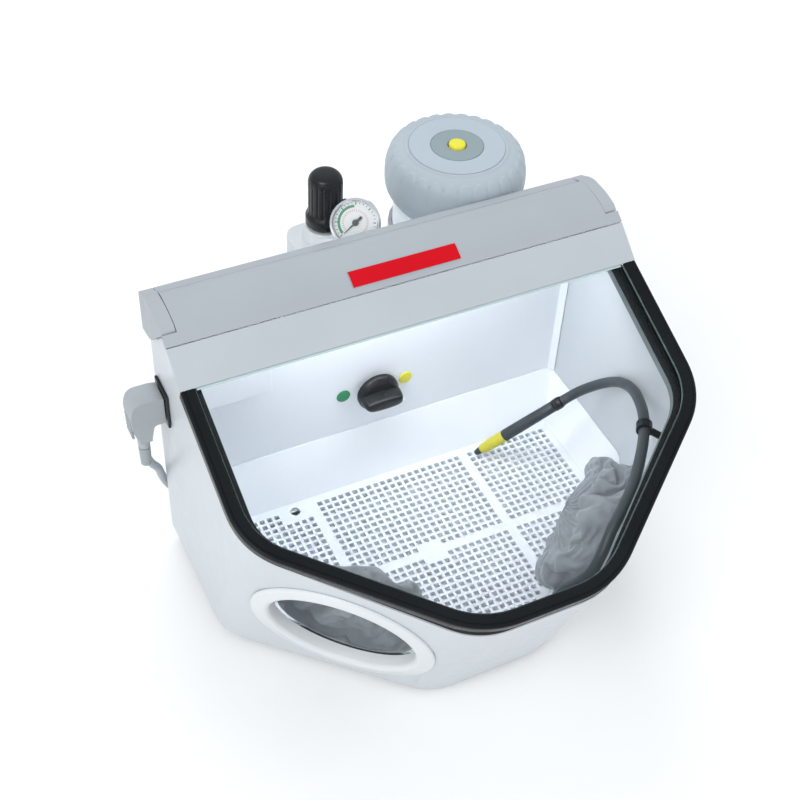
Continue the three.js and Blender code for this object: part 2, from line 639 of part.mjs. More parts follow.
// height 0 of the gauge is the plane of its dial; its stem turns down into the regulator
function gaugeCase() {
  const r = GAUGE.radius;
  const cup = solid(onGauge([
    [0, -14], [r - 3, -14], [r - 1, -12], [r - 1, -2], [r, -2], [r, 3.2], [r - 1.6, 4.4],
    [r - 2.6, 3.6], [r - 2.6, -1.4], [0, -1.4]], 28));
  const elbow = gaugeBase.map((v, i) => v - gaugeAxis[i] * 25);
  const neck = solid(rod(4.5, 12, elbow, gaugeAxis, 12));
  const foot = REGULATOR.knobBase - 15 + GAP;
  const stem = solid(rod(4.5, elbow[2] - foot + 3, [elbow[0], elbow[1], foot], [0, 0, 1], 12));
  const spindle = solid(onGauge([[0, -4], [1.9, -4], [1.9, 2], [0, 2]], 12));
  return cut(join(cup, neck, stem), spindle);
}

const ringDisc = (inner, outer, low, high) =>
  [[inner, low], [outer, low], [outer, high], [inner, high], [inner, low]];

function gaugeNeedle() {
  const hub = solid(onGauge([[0, -3.6], [1.6, -3.6], [1.6, 0.4], [2.6, 0.4], [2.6, 1.9],
    [0, 1.9]], 12));
  const turn = new THREE.Quaternion().setFromUnitVectors(
    new THREE.Vector3(0, 0, 1), new THREE.Vector3(...gaugeAxis));
  const side = new THREE.Vector3(1, 0, 0).applyQuaternion(turn);
  const up = new THREE.Vector3(...gaugeAxis).cross(side);
  const pointTo = up.clone().multiplyScalar(-0.88).addScaledVector(side, -0.47).normalize();
  const across = pointTo.clone().cross(new THREE.Vector3(...gaugeAxis));
  const frame = new THREE.Matrix4().makeBasis(across, pointTo,
    across.clone().cross(pointTo)).setPosition(...gaugeBase);
  const hand = roundedShape([[-1.1, -7], [1.1, -7], [0.35, 13.5], [-0.35, 13.5]]);
  return join(hub, solid(extrude(hand, 0.8).translate(0, 0, 0.8).applyMatrix4(frame)));
}

// ---- mains lead ----
function leadConnector() {
  const profile = [
    [-190.6, 176], [-190.6, 202], [-196, 203.5, 3], [-214, 203.5, 8], [-218.5, 192, 8],
    [-217, 172, 6], [-213.2, 163], [-212.4, 147], [-203.6, 147], [-202.8, 163], [-200, 176, 3],
  ].map(([x, z, r]) => [x, z, r ?? 0]);
  const xzToY = new THREE.Matrix4().makeBasis(new THREE.Vector3(1, 0, 0),
    new THREE.Vector3(0, 0, 1), new THREE.Vector3(0, -1, 0));
  const width = 21;
  const slab = solid(extrude(roundedShape(profile), width)
    .applyMatrix4(xzToY).translate(0, INLET.y + width / 2, 0));
  const boot = rod(4.9, 60, [-208, INLET.y, 140], [0, 0, 1], 20);
  const head = box([-225, -60, 160], [-180, 10, 210]);
  return slab.intersect(join(solid(boot), solid(head)));
}

const leadCoil = () => turned([
  [COIL.inner, 0.1], [COIL.outer, 0.1], [COIL.outer, COIL.height], [COIL.inner, COIL.height],
  [COIL.inner, 0.1]], [COIL.x, COIL.y, 0], [0, 0, 1], 32);

// the plug lies beside the coil, where the lead's last turn leaves it
function mainsPlug() {
  const radius = 16;
  const tangent = (COIL.outer - LEAD_RADIUS);
  const leave = new THREE.Vector3(COIL.x + tangent * Math.SQRT1_2,
    COIL.y - tangent * Math.SQRT1_2, radius + 0.4);
  const along = new THREE.Vector3(Math.SQRT1_2, Math.SQRT1_2, 0);
  const start = 34;
  const body = solid(turned([
    [0, start], [4.8, start], [6.5, start + 22], [radius - 2, start + 28], [radius, start + 34],
    [radius, start + 62], [0, start + 62]], leave.toArray(), along.toArray(), 20));
  const across = new THREE.Vector3(-along.y, along.x, 0);
  const pin = (offset) => solid(rod(2.4, 20,
    leave.clone().addScaledVector(across, offset).addScaledVector(along, start + 61).toArray(),
    along.toArray(), 10));
  return join(body, pin(-9.5), pin(9.5));
}

// ---- assembly ----
piece('housing_shell', housingShell(), WHITE);
piece('chamber_tub', chamberTub(), LINER_WHITE);
piece('back_liner', backLiner(), LINER_WHITE);
piece('floor_grid', floorGrid(), WHITE);
piece('rim_seal', rimSeal(), RUBBER);
piece('rear_strip', rearStrip(), BAR_GREY);
for (const [side, name] of [[-1, 'left'], [1, 'right']]) {
  piece(`end_cap_${name}`, endCap(side), CAP_GREY);
  piece(`hinge_pin_${name}`, hingePin(side), STEEL);
  piece(`arm_ring_${name}`, armRing(side), WHITE);
  piece(`arm_sleeve_${name}`, armSleeve(side), FABRIC);
}
[[-150, -40], [150, -40], [-60, -205], [60, -205]].forEach(([x, y], i) => {
  piece(`foot_${i + 1}`, rod(11, BOTTOM - GAP, [x, y, 0], [0, 0, 1], 20), RUBBER);
});
piece('electrics_box', electricsBox(), LINER_WHITE);
piece('mains_inlet', mainsInlet(), BLACK);
piece('extraction_port', turned([
  [EXTRACTION.bore, -8], [EXTRACTION.outer, -8], [EXTRACTION.outer, GAP],
  [EXTRACTION.outer + 8, GAP], [EXTRACTION.outer + 8, 3], [EXTRACTION.outer, 4],
  [EXTRACTION.outer - 0.6, 30], [EXTRACTION.bore, 30], [EXTRACTION.bore, -8],
], [EXTRACTION.x, 0, EXTRACTION.z], [0, 1, 0], 20), LIGHT_GREY);

piece('hinge_bar', hingeBar(), BAR_GREY);
piece('front_panel', frontPanel(), BAR_GREY);
piece('bar_label', barLabel(), RED);
piece('window_pane', extrude(paneShape(0), PANE.thick, 4)
  .translate(0, 0, -PANE.top - PANE.thick), GLASS, windowGroup);
piece('window_trim', windowTrim(), BLACK, windowGroup);
piece('pane_clamp', box([-160, 8, -11], [160, 22, -PANE.top - PANE.thick - GAP]),
  BAR_GREY, windowGroup);
piece('lamp_housing', alongX(roundedShape([[-57, 278.6], [-57, 281.4], [-53.5, 283.8],
  [-48, 286.4], [-38, 288.6], [-36, 288.4], [-36, 278.6]]), -150, 150), LIGHT_GREY);
piece('lamp_diffuser', alongX(roundedShape([[-57, 278.3], [-36, 278.3], [-36, 275.5, 2],
  [-57, 275.5, 2]]), -146, 146, 3), WHITE);

piece('selector_spindle', rod(4, 14, [SELECTOR.x, -18, SELECTOR.z], [0, 1, 0], 16), STEEL);
const knob = piece('selector_knob', selectorKnob(), BLACK);
knob.position.set(SELECTOR.x, -18.3, SELECTOR.z);
piece('selector_valve', cut(
  solid(box([SELECTOR.x - 15, -10.6, SELECTOR.z - 15], [SELECTOR.x + 15, -4.5, SELECTOR.z + 15])),
  solid(rod(4.3, 20, [SELECTOR.x, -20, SELECTOR.z], [0, 1, 0], 16))), BRASS);
SPOT(-DOT_SPACING, GREEN, 'green_dot');
SPOT(DOT_SPACING, YELLOW, 'yellow_dot');

piece('hose_bulkhead', turned([[0, 58], [6, 58], [6, 74], [5.2, 75], [5.2, 80], [0, 80]],
  [HOSE_ROUTE[0][0], HOSE_ROUTE[0][1], 0], [0, 0, 1], 20), BRASS);
piece('blast_hose', tube(HOSE_ROUTE, HOSE_RADIUS, 8, 30), SLATE);
piece('hose_clip', hoseClip(), BLACK);
piece('handpiece_ferrule', handpieceStage(0, 9, [5.2, 5.6, 5.4]), BLACK);
piece('handpiece_grip', handpieceStage(9.3, 64, [4.9, 5.1, 5.35, 5.4, 5.4]), SLATE);
piece('nozzle_sleeve', handpieceStage(64.3, 90, [5.4, 5.35, 5, 4.2]), YELLOW);
piece('nozzle_tip', handpieceStage(90.3, HANDPIECE_LENGTH, [3.2, 2.9, 2.1]), SLATE);

piece('tank_body', tankBody(), LIGHT_GREY);
piece('tank_bracket', tankBracket(), STEEL);
piece('tank_outlet', tankOutlet(), BRASS);
piece('cap_seal_disc', capSealDisc(), RUBBER);
piece('tank_cap', capShell(), TANK_GREY);
piece('cap_button', capButton(), YELLOW);

piece('regulator_body', regulatorBody(), LIGHT_GREY);
piece('regulator_bracket', regulatorBracket(), STEEL);
piece('regulator_spindle', rod(4.2,
  REGULATOR.knobTop - REGULATOR.knobBase + 11,
  [REGULATOR.x, REGULATOR.y, REGULATOR.knobBase - 17], [0, 0, 1], 14), STEEL);
piece('regulator_knob', regulatorKnob(), BLACK);
piece('air_inlet', turned([[0, 0], [8, 0], [8, 12], [6, 13], [5, 24], [0, 24]],
  [REGULATOR.x - 30.3, REGULATOR.y, REGULATOR.knobBase - 45], [-1, 0, 0], 16), BRASS);
piece('gauge_case', gaugeCase(), CHROME);
piece('gauge_dial', onGauge(ringDisc(2.3, GAUGE.radius - 3, -1.1, -0.3), 28), WHITE);
piece('gauge_needle', gaugeNeedle(), BLACK);
piece('gauge_lens', onGauge([[0, 2.3], [GAUGE.radius - 3, 2.3], [GAUGE.radius - 3, 3.4],
  [0, 3.4]], 28), GLASS);

piece('lead_connector', leadConnector(), LIGHT_GREY);
piece('mains_lead', tube(LEAD_ROUTE, LEAD_RADIUS, 8, 26), LIGHT_GREY);
piece('lead_coil', leadCoil(), LIGHT_GREY);
piece('mains_plug', mainsPlug(), LIGHT_GREY);

const cabinet = new THREE.Group();
cabinet.add(unit);

export default cabinet;
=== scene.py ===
"""Looks of the bench fine-blasting cabinet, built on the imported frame. Metres, +Z up."""

import json
import math

import bmesh
import bpy
from mathutils import Matrix, Vector, noise


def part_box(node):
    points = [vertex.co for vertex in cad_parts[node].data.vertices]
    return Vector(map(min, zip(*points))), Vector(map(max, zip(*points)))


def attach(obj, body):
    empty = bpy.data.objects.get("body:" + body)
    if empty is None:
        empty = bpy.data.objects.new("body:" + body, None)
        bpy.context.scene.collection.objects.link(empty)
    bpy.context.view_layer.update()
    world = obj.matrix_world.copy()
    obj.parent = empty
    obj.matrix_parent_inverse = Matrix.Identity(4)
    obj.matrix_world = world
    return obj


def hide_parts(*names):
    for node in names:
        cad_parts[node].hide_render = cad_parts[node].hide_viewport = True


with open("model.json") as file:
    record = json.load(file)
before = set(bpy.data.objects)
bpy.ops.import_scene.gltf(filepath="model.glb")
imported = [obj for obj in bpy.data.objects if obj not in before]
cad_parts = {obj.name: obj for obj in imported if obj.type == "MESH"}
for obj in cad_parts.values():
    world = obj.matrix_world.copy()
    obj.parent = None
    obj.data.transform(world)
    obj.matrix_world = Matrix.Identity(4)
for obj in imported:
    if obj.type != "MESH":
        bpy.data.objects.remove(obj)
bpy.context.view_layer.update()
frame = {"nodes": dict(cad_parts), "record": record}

# ---- driving dimensions ----
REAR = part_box("housing_shell")[1][1]          # the housing's rear face
TILT = math.radians(21.9)                     # slope of the window plane
WINDOW_Y = -0.0903                            # the front panel's lower edge, from the rear face
WINDOW_Z = 0.2632
LID = dict(half=0.1925, shoulder=0.1238, half_front=0.0538, front=0.2397)
SHELL = dict(half=0.1873, shoulder=0.1237, half_front=0.0538, front=0.2397)
CORNER_REACH = 0.024
RIM_DEPTH = 0.018                             # housing rim, below the window plane
PORT = dict(x=0.1205, y=-0.2186, z=0.0953, opening=0.0585, flange=0.074, hole=0.0617)
TANK = dict(x=0.1054, y=0.061, top=0.3006, radius=0.0515, cap_radius=0.060, lobes=28)
REGULATOR = dict(x=-0.017, y=0.055, knob_top=0.3096, knob_base=0.261)
DIAL_START, DIAL_SWEEP = -135, 270             # degrees clockwise from straight up
GAUGE = dict(x=-0.0069, y=0.018, z=0.283, radius=0.0205, azimuth=-25, elevation=27)
SELECTOR = dict(x=0, y=-0.0183, z=0.125, radius=0.019)
GRID_TOP = 0.041
GRID_THICK = 0.0035
ROUND_HOLE = (-0.0906, -0.051)                # in the grid, for lifting it out
ROUND_HOLE_RADIUS = 0.0045
COIL = dict(x=-0.095, y=0.060, outer=0.0455, pitch=0.007)
HOSE_DIAMETER = 0.009
LEAD_DIAMETER = 0.007
NOZZLE_END = (0.0844, -0.0553, 0.045)
HANDPIECE_REAR = (0.1511, -0.0814, 0.1098)

# routes of the hose and the mains lead, as the frame has them
HOSE_ROUTE = [
    (0.050, -0.252, 0.0803), (0.050, -0.2524, 0.090), (0.0515, -0.2565, 0.103),
    (0.0566, -0.2645, 0.118), (0.0645, -0.2693, 0.1345), (0.0725, -0.2669, 0.1496),
    (0.084, -0.2589, 0.163), (0.0985, -0.2493, 0.172), (0.1131, -0.2377, 0.1777),
    (0.1262, -0.2242, 0.1817), (0.1387, -0.2096, 0.1842), (0.1501, -0.194, 0.185),
    (0.1596, -0.1773, 0.1835), (0.1671, -0.1599, 0.1794), (0.1728, -0.1428, 0.1729),
    (0.1758, -0.1263, 0.1633), (0.176, -0.1114, 0.1508), (0.1714, -0.0984, 0.137),
    (0.1636, -0.0883, 0.1238), (0.1575, -0.0839, 0.116), (0.1515, -0.08155, 0.11015),
]
LEAD_ROUTE = [
    (-0.208, -0.022, 0.1467), (-0.208, -0.022, 0.137), (-0.2055, -0.0205, 0.127),
    (-0.2015, -0.0165, 0.116), (-0.197, -0.0095, 0.104), (-0.1935, -0.0015, 0.091),
    (-0.1905, 0.005, 0.077), (-0.1865, 0.0095, 0.062), (-0.180, 0.0125, 0.047),
    (-0.171, 0.014, 0.033), (-0.160, 0.0145, 0.020), (-0.147, 0.0145, 0.010),
    (-0.134, 0.0145, 0.005), (-0.122, 0.0145, 0.0037),
]

BODY_OF = {node: body for body, nodes in frame["record"]["behaviour"]["bodies"].items()
           for node in nodes}


# ---- places ----
def at(x, y, z):
    """A point given from the middle of the housing's rear face, on the bench."""
    return Vector((x, y + REAR, z))


def on_window(x, t, depth=0.0):
    """A point t up the window's slope from the panel's edge, and depth below its plane."""
    y = WINDOW_Y + t * math.cos(TILT) + depth * math.sin(TILT)
    return at(x, y, WINDOW_Z + t * math.sin(TILT) - depth * math.cos(TILT))


def port_axis(side):
    """Outward normal of the housing wall that holds an arm port."""
    shoulder = on_window(SHELL["half"], -SHELL["shoulder"])
    front = on_window(SHELL["half_front"], -SHELL["front"])
    upslope = Vector((0, -math.sin(TILT), math.cos(TILT)))
    normal = (front - shoulder).cross(upslope).normalized()
    if normal.x < 0:
        normal.negate()
    return Vector((normal.x * side, normal.y, normal.z))


def port_centre(side):
    return at(PORT["x"] * side, PORT["y"], PORT["z"])


def gauge_axis():
    azimuth = math.radians(GAUGE["azimuth"])
    elevation = math.radians(GAUGE["elevation"])
    return Vector((math.sin(azimuth) * math.cos(elevation),
                   -math.cos(azimuth) * math.cos(elevation), math.sin(elevation)))


# ---- camera and light ----
def make_camera():
    data = bpy.data.cameras.new("camera")
    data.lens = 62.29
    data.sensor_width = 36
    data.clip_start = 0.01
    camera = bpy.data.objects.new("camera", data)
    camera.location = (-0.3783, -0.6841, 0.9684)
    camera.rotation_euler = [math.radians(angle) for angle in (44.821, -2.306, -25.485)]
    bpy.context.collection.objects.link(camera)
    bpy.context.scene.camera = camera


def area_light(name, place, target, size, power, color=(1, 1, 1), mirrored=True):
    data = bpy.data.lights.new(name, "AREA")
    data.shape = "SQUARE"
    data.size = size
    data.energy = power
    data.color = color
    light = bpy.data.objects.new(name, data)
    light.location = place
    light.visible_glossy = mirrored
    light.rotation_euler = (Vector(target) - Vector(place)).to_track_quat("-Z", "Y").to_euler()
    bpy.context.collection.objects.link(light)


def make_light():
    world = bpy.data.worlds.new("studio")
    world.use_nodes = True
    background = world.node_tree.nodes["Background"]
    background.inputs["Color"].default_value = (0.94, 0.97, 1, 1)
    background.inputs["Strength"].default_value = 0.72
    bpy.context.scene.world = world
    bpy.context.scene.view_settings.view_transform = "Standard"
    target = (0, 0, 0.15)
    area_light("key", (-1.3, -0.9, 1.5), target, 1.2, 20)
    area_light("fill", (1.5, -1.1, 1.0), target, 1.3, 10, mirrored=False)
    area_light("rim", (0.3, 1.4, 1.4), target, 1.2, 13, (0.95, 0.98, 1), mirrored=False)


# ---- materials ----
def link_noise(nodes, links, coords, scale, detail):
    texture = nodes.new("ShaderNodeTexNoise")
    texture.inputs["Scale"].default_value = scale
    texture.inputs["Detail"].default_value = detail
    links.new(coords, texture.inputs["Vector"])
    return texture.outputs["Fac"]


def ranged(nodes, links, source, low, high):
    """Maps the middle of a noise to low..high."""
    node = nodes.new("ShaderNodeMapRange")
    node.inputs["From Min"].default_value = 0.3
    node.inputs["From Max"].default_value = 0.7
    node.inputs["To Min"].default_value = low
    node.inputs["To Max"].default_value = high
    links.new(source, node.inputs["Value"])
    return node.outputs["Result"]


def surface(name, color, roughness, metallic=0.0, mottle=0.03, cloud=18, spread=0.05,
            grain=1400, depth=0.00003, stretch=(1, 1, 1), **sockets):
    """A Principled material: colour drifts with a cloud noise, a fine grain gives the bump."""
    made = bpy.data.materials.new(name)
    made.use_nodes = True
    nodes, links = made.node_tree.nodes, made.node_tree.links
    shader = nodes["Principled BSDF"]
    shader.inputs["Base Color"].default_value = (*color, 1)
    shader.inputs["Roughness"].default_value = roughness
    shader.inputs["Metallic"].default_value = metallic
    for socket, value in sockets.items():
        shader.inputs[socket.replace("_", " ")].default_value = value
    place = nodes.new("ShaderNodeTexCoord").outputs["Object"]
    mapping = nodes.new("ShaderNodeMapping")
    mapping.inputs["Scale"].default_value = stretch
    links.new(place, mapping.inputs["Vector"])
    drift = link_noise(nodes, links, place, cloud, 4)
    mix = nodes.new("ShaderNodeMix")
    mix.data_type = "RGBA"
    mix.inputs["A"].default_value = (*[c * (1 - mottle) for c in color], 1)
    mix.inputs["B"].default_value = (*[min(1, c * (1 + mottle)) for c in color], 1)
    links.new(ranged(nodes, links, drift, 0, 1), mix.inputs["Factor"])
    links.new(mix.outputs["Result"], shader.inputs["Base Color"])
    fine = link_noise(nodes, links, mapping.outputs["Vector"], grain, 2)
    rough = ranged(nodes, links, link_noise(nodes, links, place, cloud * 5, 3),
                   max(0, roughness - spread), roughness + spread)
    links.new(rough, shader.inputs["Roughness"])
    bump = nodes.new("ShaderNodeBump")
    bump.inputs["Strength"].default_value = 0.6
    bump.inputs["Distance"].default_value = depth
    links.new(fine, bump.inputs["Height"])
    links.new(bump.outputs["Normal"], shader.inputs["Normal"])
    return made


def woven(name, color):
    """Grey cloth: threads cross along the piece's own U and V."""
    made = surface(name, color, 0.85, mottle=0.12, cloud=60, grain=3500, depth=0.0001,
                   Sheen_Weight=0.4, Sheen_Roughness=0.5)
    nodes, links = made.node_tree.nodes, made.node_tree.links
    uv = nodes.new("ShaderNodeTexCoord").outputs["UV"]
    threads = []
    for direction in ("X", "Y"):
        wave = nodes.new("ShaderNodeTexWave")
        wave.bands_direction = direction
        wave.inputs["Scale"].default_value = 90
        wave.inputs["Distortion"].default_value = 0.6
        links.new(uv, wave.inputs["Vector"])
        threads.append(wave.outputs["Fac"])
    crossing = nodes.new("ShaderNodeMath")
    crossing.operation = "MULTIPLY"
    links.new(threads[0], crossing.inputs[0])
    links.new(threads[1], crossing.inputs[1])
    bump = nodes.new("ShaderNodeBump")
    bump.inputs["Strength"].default_value = 0.35
    bump.inputs["Distance"].default_value = 0.0002
    links.new(crossing.outputs["Value"], bump.inputs["Height"])
    shader = nodes["Principled BSDF"]
    links.new(shader.inputs["Normal"].links[0].from_socket, bump.inputs["Normal"])
    links.new(bump.outputs["Normal"], shader.inputs["Normal"])
    return made


def clear_sheet(name, color, least, most):
    """Thin clear glass: seen through head on, mirroring at a flat angle."""
    made = surface(name, color, 0.04, mottle=0.02, spread=0.02, depth=0.000002)
    nodes, links = made.node_tree.nodes, made.node_tree.links
    facing = nodes.new("ShaderNodeLayerWeight")
    facing.inputs["Blend"].default_value = 0.25
    veil = nodes.new("ShaderNodeMapRange")
    veil.inputs["To Min"].default_value = least
    veil.inputs["To Max"].default_value = most
    links.new(facing.outputs["Fresnel"], veil.inputs["Value"])
    shader = nodes["Principled BSDF"]
    shader.inputs["Alpha"].default_value = least
    links.new(veil.outputs["Result"], shader.inputs["Alpha"])
    return made


WHITE = surface("housing_white", (0.565, 0.60, 0.63), 0.36, mottle=0.012)
PORT_WHITE = surface("port_white", (0.69, 0.715, 0.73), 0.4, mottle=0.012)
LINER = surface("liner_white", (0.87, 0.905, 0.95), 0.42, mottle=0.015)
GRID = surface("grid_white", (0.87, 0.91, 0.95), 0.4, mottle=0.02)
BAR = surface("bar_grey", (0.37, 0.40, 0.432), 0.42, mottle=0.02, depth=0.00002)
PANEL = surface("panel_grey", (0.45, 0.485, 0.52), 0.42, mottle=0.02, depth=0.00002)
CAP_END = surface("cap_grey", (0.38, 0.41, 0.435), 0.5, mottle=0.03, depth=0.00005)
BLACK = surface("trim_black", (0.006, 0.008, 0.010), 0.30, mottle=0.2,
                Specular_IOR_Level=0.16)
RUBBER = surface("seal_rubber", (0.008, 0.010, 0.012), 0.6, mottle=0.25, depth=0.00006,
                 Specular_IOR_Level=0.2)
# a lighter grey-green copy of the black seal rubber: painted light on the seal's inner lip as seen
# through the pane
LIT_SEAL_FACE = surface("seal_lit_face", (0.16, 0.20, 0.20), 0.6, mottle=0.15, depth=0.00006)
KNOB = surface("knob_black", (0.010, 0.011, 0.013), 0.30, mottle=0.2, Specular_IOR_Level=0.35)
SLATE = surface("slate_plastic", (0.030, 0.040, 0.046), 0.42, mottle=0.1)
HOSE = surface("hose_rubber", (0.034, 0.046, 0.052), 0.45, mottle=0.12, depth=0.00005)
RED = surface("plate_red", (0.58, 0.0015, 0.010), 0.5, mottle=0.04, Specular_IOR_Level=0.15)
YELLOW = surface("spot_yellow", (0.76, 0.70, 0.04), 0.4, mottle=0.05)
SLEEVE_YELLOW = surface("sleeve_yellow", (0.60, 0.55, 0.045), 0.45, mottle=0.06)
GREEN = surface("spot_green", (0.022, 0.25, 0.10), 0.4, mottle=0.05)
TANK_SKIN = surface("tank_skin", (0.80, 0.87, 0.91), 0.35, mottle=0.03,
                    Subsurface_Weight=0.35, Subsurface_Radius=(0.01, 0.01, 0.01))
CAP_SKIN = surface("cap_skin", (0.40, 0.46, 0.505), 0.5, mottle=0.03, depth=0.00006)
CAP_DISC = surface("cap_disc", (0.25, 0.315, 0.34), 0.5, mottle=0.03)
CAP_RING = surface("cap_ring", (0.41, 0.476, 0.53), 0.45, mottle=0.02)
PALE = surface("pale_plastic", (0.60, 0.63, 0.65), 0.45, mottle=0.03)
CORD = surface("cord_grey", (0.37, 0.40, 0.42), 0.5, mottle=0.04)
CHROME = surface("chrome_bezel", (0.80, 0.82, 0.84), 0.12, 1.0, mottle=0.05, spread=0.05)
BRASS = surface("brass_fitting", (0.60, 0.43, 0.19), 0.3, 1.0, mottle=0.08)
STEEL = surface("steel_part", (0.52, 0.53, 0.55), 0.35, 1.0, mottle=0.06, stretch=(1, 0.05, 1))
DIAL = surface("dial_white", (0.86, 0.87, 0.87), 0.4, mottle=0.01)
DIAL_BLACK = surface("dial_black", (0.02, 0.02, 0.02), 0.5, mottle=0.1)
DIAL_RED = surface("dial_red", (0.62, 0.16, 0.20), 0.5, mottle=0.1)
DIAL_GREEN = surface("dial_green", (0.02, 0.27, 0.13), 0.5, mottle=0.05)
# lighter grey-green colour of the bead on the trim's inner edge: a painted highlight line, the
# light caught along that edge
TRIM_HIGHLIGHT = surface("painted_trim_highlight", (0.10, 0.14, 0.14), 0.35, mottle=0.1)
# pale green colour of the strip under the panel: a painted glint of light refracted along the glass
# edge
GLASS_EDGE_GLINT = surface("glass_edge_glint", (0.58, 0.72, 0.72), 0.2, mottle=0.03)
LAMP = surface("lamp_white", (0.9, 0.92, 0.95), 0.4, mottle=0.01,
               Emission_Color=(0.93, 0.96, 1, 1), Emission_Strength=15.0)
GLASS = clear_sheet("pane_glass", (0.86, 0.95, 0.95), 0.002, 0.12)
LENS = clear_sheet("lens_glass", (0.9, 0.94, 0.94), 0.04, 0.6)
FABRIC = woven("sleeve_fabric", (0.26, 0.29, 0.315))


# ---- mesh helpers ----
def put(name, bm, material, body, nodes=(), bevel=0.0, angle=30, segments=2):
    """Makes a piece of a bmesh: materials, smooth shading, rounded edges, and its body."""
    bmesh.ops.remove_doubles(bm, verts=bm.verts, dist=1e-6)
    bmesh.ops.recalc_face_normals(bm, faces=bm.faces)
    mesh = bpy.data.meshes.new(name)
    bm.to_mesh(mesh)
    bm.free()
    mesh.shade_smooth()
    for each in [material] if not isinstance(material, (list, tuple)) else material:
        mesh.materials.append(each)
    piece = bpy.data.objects.new(name, mesh)
    bpy.context.collection.objects.link(piece)
    if bevel:
        edge = piece.modifiers.new("edge", "BEVEL")
        edge.width = bevel
        edge.segments = segments
        edge.limit_method = "ANGLE"
        edge.angle_limit = math.radians(angle)
        edge.harden_normals = False
        flat = piece.modifiers.new("flat", "WEIGHTED_NORMAL")
        flat.weight = 80
    else:
        mesh.set_sharp_from_angle(angle=math.radians(angle))
    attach(piece, body)
    if nodes:
        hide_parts(*nodes)
    return piece


def refined(node, material, bevel=0.0005, angle=30, segments=2, joined=True):
    """The CAD solid's own shape, its flats joined up where they are simple, its edges rounded."""
    bm = bmesh.new()
    bm.from_mesh(frame["nodes"][node].data)
    bmesh.ops.remove_doubles(bm, verts=bm.verts, dist=1e-6)
    if joined:
        bmesh.ops.dissolve_limit(bm, angle_limit=math.radians(1), verts=bm.verts,
                                 edges=bm.edges)
    return put(f"{node}_skin", bm, material, BODY_OF[node], [node], bevel, angle, segments)


def axis_frame(base, axis):
    """Matrix that puts local +Z along axis at base."""
    turn = Vector(axis).to_track_quat("Z", "Y").to_matrix().to_4x4()
    return Matrix.Translation(base) @ turn


def turned(name, profile, base, axis, material, body, nodes=(), segments=72, angle=35,
           bevel=0.0, shape=None):
    """A solid of revolution. shape(radius, height, turn) may give a point another radius and
    height."""
    bm = bmesh.new()
    rings = []
    for radius, height in profile:
        if radius < 1e-7:
            rings.append([bm.verts.new((0, 0, height))])
            continue
        ring = []
        for i in range(segments):
            turn = 2 * math.pi * i / segments
            r, h = shape(radius, height, turn) if shape else (radius, height)
            ring.append(bm.verts.new((r * math.cos(turn), r * math.sin(turn), h)))
        rings.append(ring)
    for low, high in zip(rings, rings[1:]):
        for i in range(segments):
            j = (i + 1) % segments
            corners = [low[i % len(low)], low[j % len(low)], high[j % len(high)],
                       high[i % len(high)]]
            unique = list(dict.fromkeys(corners))
            if len(unique) > 2:
                bm.faces.new(unique)
    bm.transform(axis_frame(base, axis))
    return put(name, bm, material, body, nodes, bevel, angle)


def rounded_run(corners, reach, bends=10):
    """Points along an open outline whose inner corners are rounded."""
    corners = [Vector(corner) for corner in corners]
    run = [corners[0]]
    for before, here, after in zip(corners, corners[1:], corners[2:]):
        start = here + (before - here).normalized() * reach
        end = here + (after - here).normalized() * reach
        for i in range(bends + 1):
            f = i / bends
            run.append(start * (1 - f) ** 2 + here * 2 * f * (1 - f) + end * f ** 2)
    run.append(corners[-1])
    return run


def resampled(run, step):
    """Evenly spaced points along a run."""
    points = [run[0]]
    left = step
    for a, b in zip(run, run[1:]):
        length = (b - a).length
        while left <= length:
            points.append(a.lerp(b, left / length))
            left += step
        left -= length
    points.append(run[-1])
    return points


def window_corners(size, rear):
    return [(-size["half"], rear), (-size["half"], -size["shoulder"]),
            (-size["half_front"], -size["front"]), (size["half_front"], -size["front"]),
            (size["half"], -size["shoulder"]), (size["half"], rear)]


def swept(name, run, profile, material, body, nodes=(), angle=40, second=None, swell=None):
    """A closed (inwards, depth) profile swept along an outline in the window plane."""
    bm = bmesh.new()
    rings = []
    for i, here in enumerate(run):
        before = run[max(i - 1, 0)]
        after = run[min(i + 1, len(run) - 1)]
        along = (after - before).normalized()
        inward = Vector((-along.y, along.x))
        ring = []
        for j, (u, depth) in enumerate(profile):
            spot = here + inward * (u + (swell(i, j) if swell else 0))
            ring.append(bm.verts.new(on_window(spot.x, spot.y, depth)))
        rings.append(ring)
    count = len(profile)
    for low, high in zip(rings, rings[1:]):
        for j in range(count):
            k = (j + 1) % count
            face = bm.faces.new([low[j], low[k], high[k], high[j]])
            face.material_index = 1 if second and j in second else 0
    bm.faces.new(rings[0])
    bm.faces.new(rings[-1])
    return put(name, bm, material, body, nodes, angle=angle)


def spline_points(points, per_span=8):
    """A smooth curve through the points, centripetal as the frame's tubes are."""
    pts = [Vector(p) for p in points]
    first = pts[0] * 2 - pts[1]
    last = pts[-1] * 2 - pts[-2]
    pts = [first, *pts, last]
    out = []
    for p0, p1, p2, p3 in zip(pts, pts[1:], pts[2:], pts[3:]):
        t0 = 0.0
        t1 = t0 + (p1 - p0).length ** 0.5
        t2 = t1 + (p2 - p1).length ** 0.5
        t3 = t2 + (p3 - p2).length ** 0.5
        for i in range(per_span):
            t = t1 + (t2 - t1) * i / per_span
            a1 = p0 * ((t1 - t) / (t1 - t0)) + p1 * ((t - t0) / (t1 - t0))
            a2 = p1 * ((t2 - t) / (t2 - t1)) + p2 * ((t - t1) / (t2 - t1))
            a3 = p2 * ((t3 - t) / (t3 - t2)) + p3 * ((t - t2) / (t3 - t2))
            b1 = a1 * ((t2 - t) / (t2 - t0)) + a2 * ((t - t0) / (t2 - t0))
            b2 = a2 * ((t3 - t) / (t3 - t1)) + a3 * ((t - t1) / (t3 - t1))
            out.append(b1 * ((t2 - t) / (t2 - t1)) + b2 * ((t - t1) / (t2 - t1)))
    out.append(pts[-2])
    return out


def run_length(points):
    return sum((b - a).length for a, b in zip(points, points[1:]))


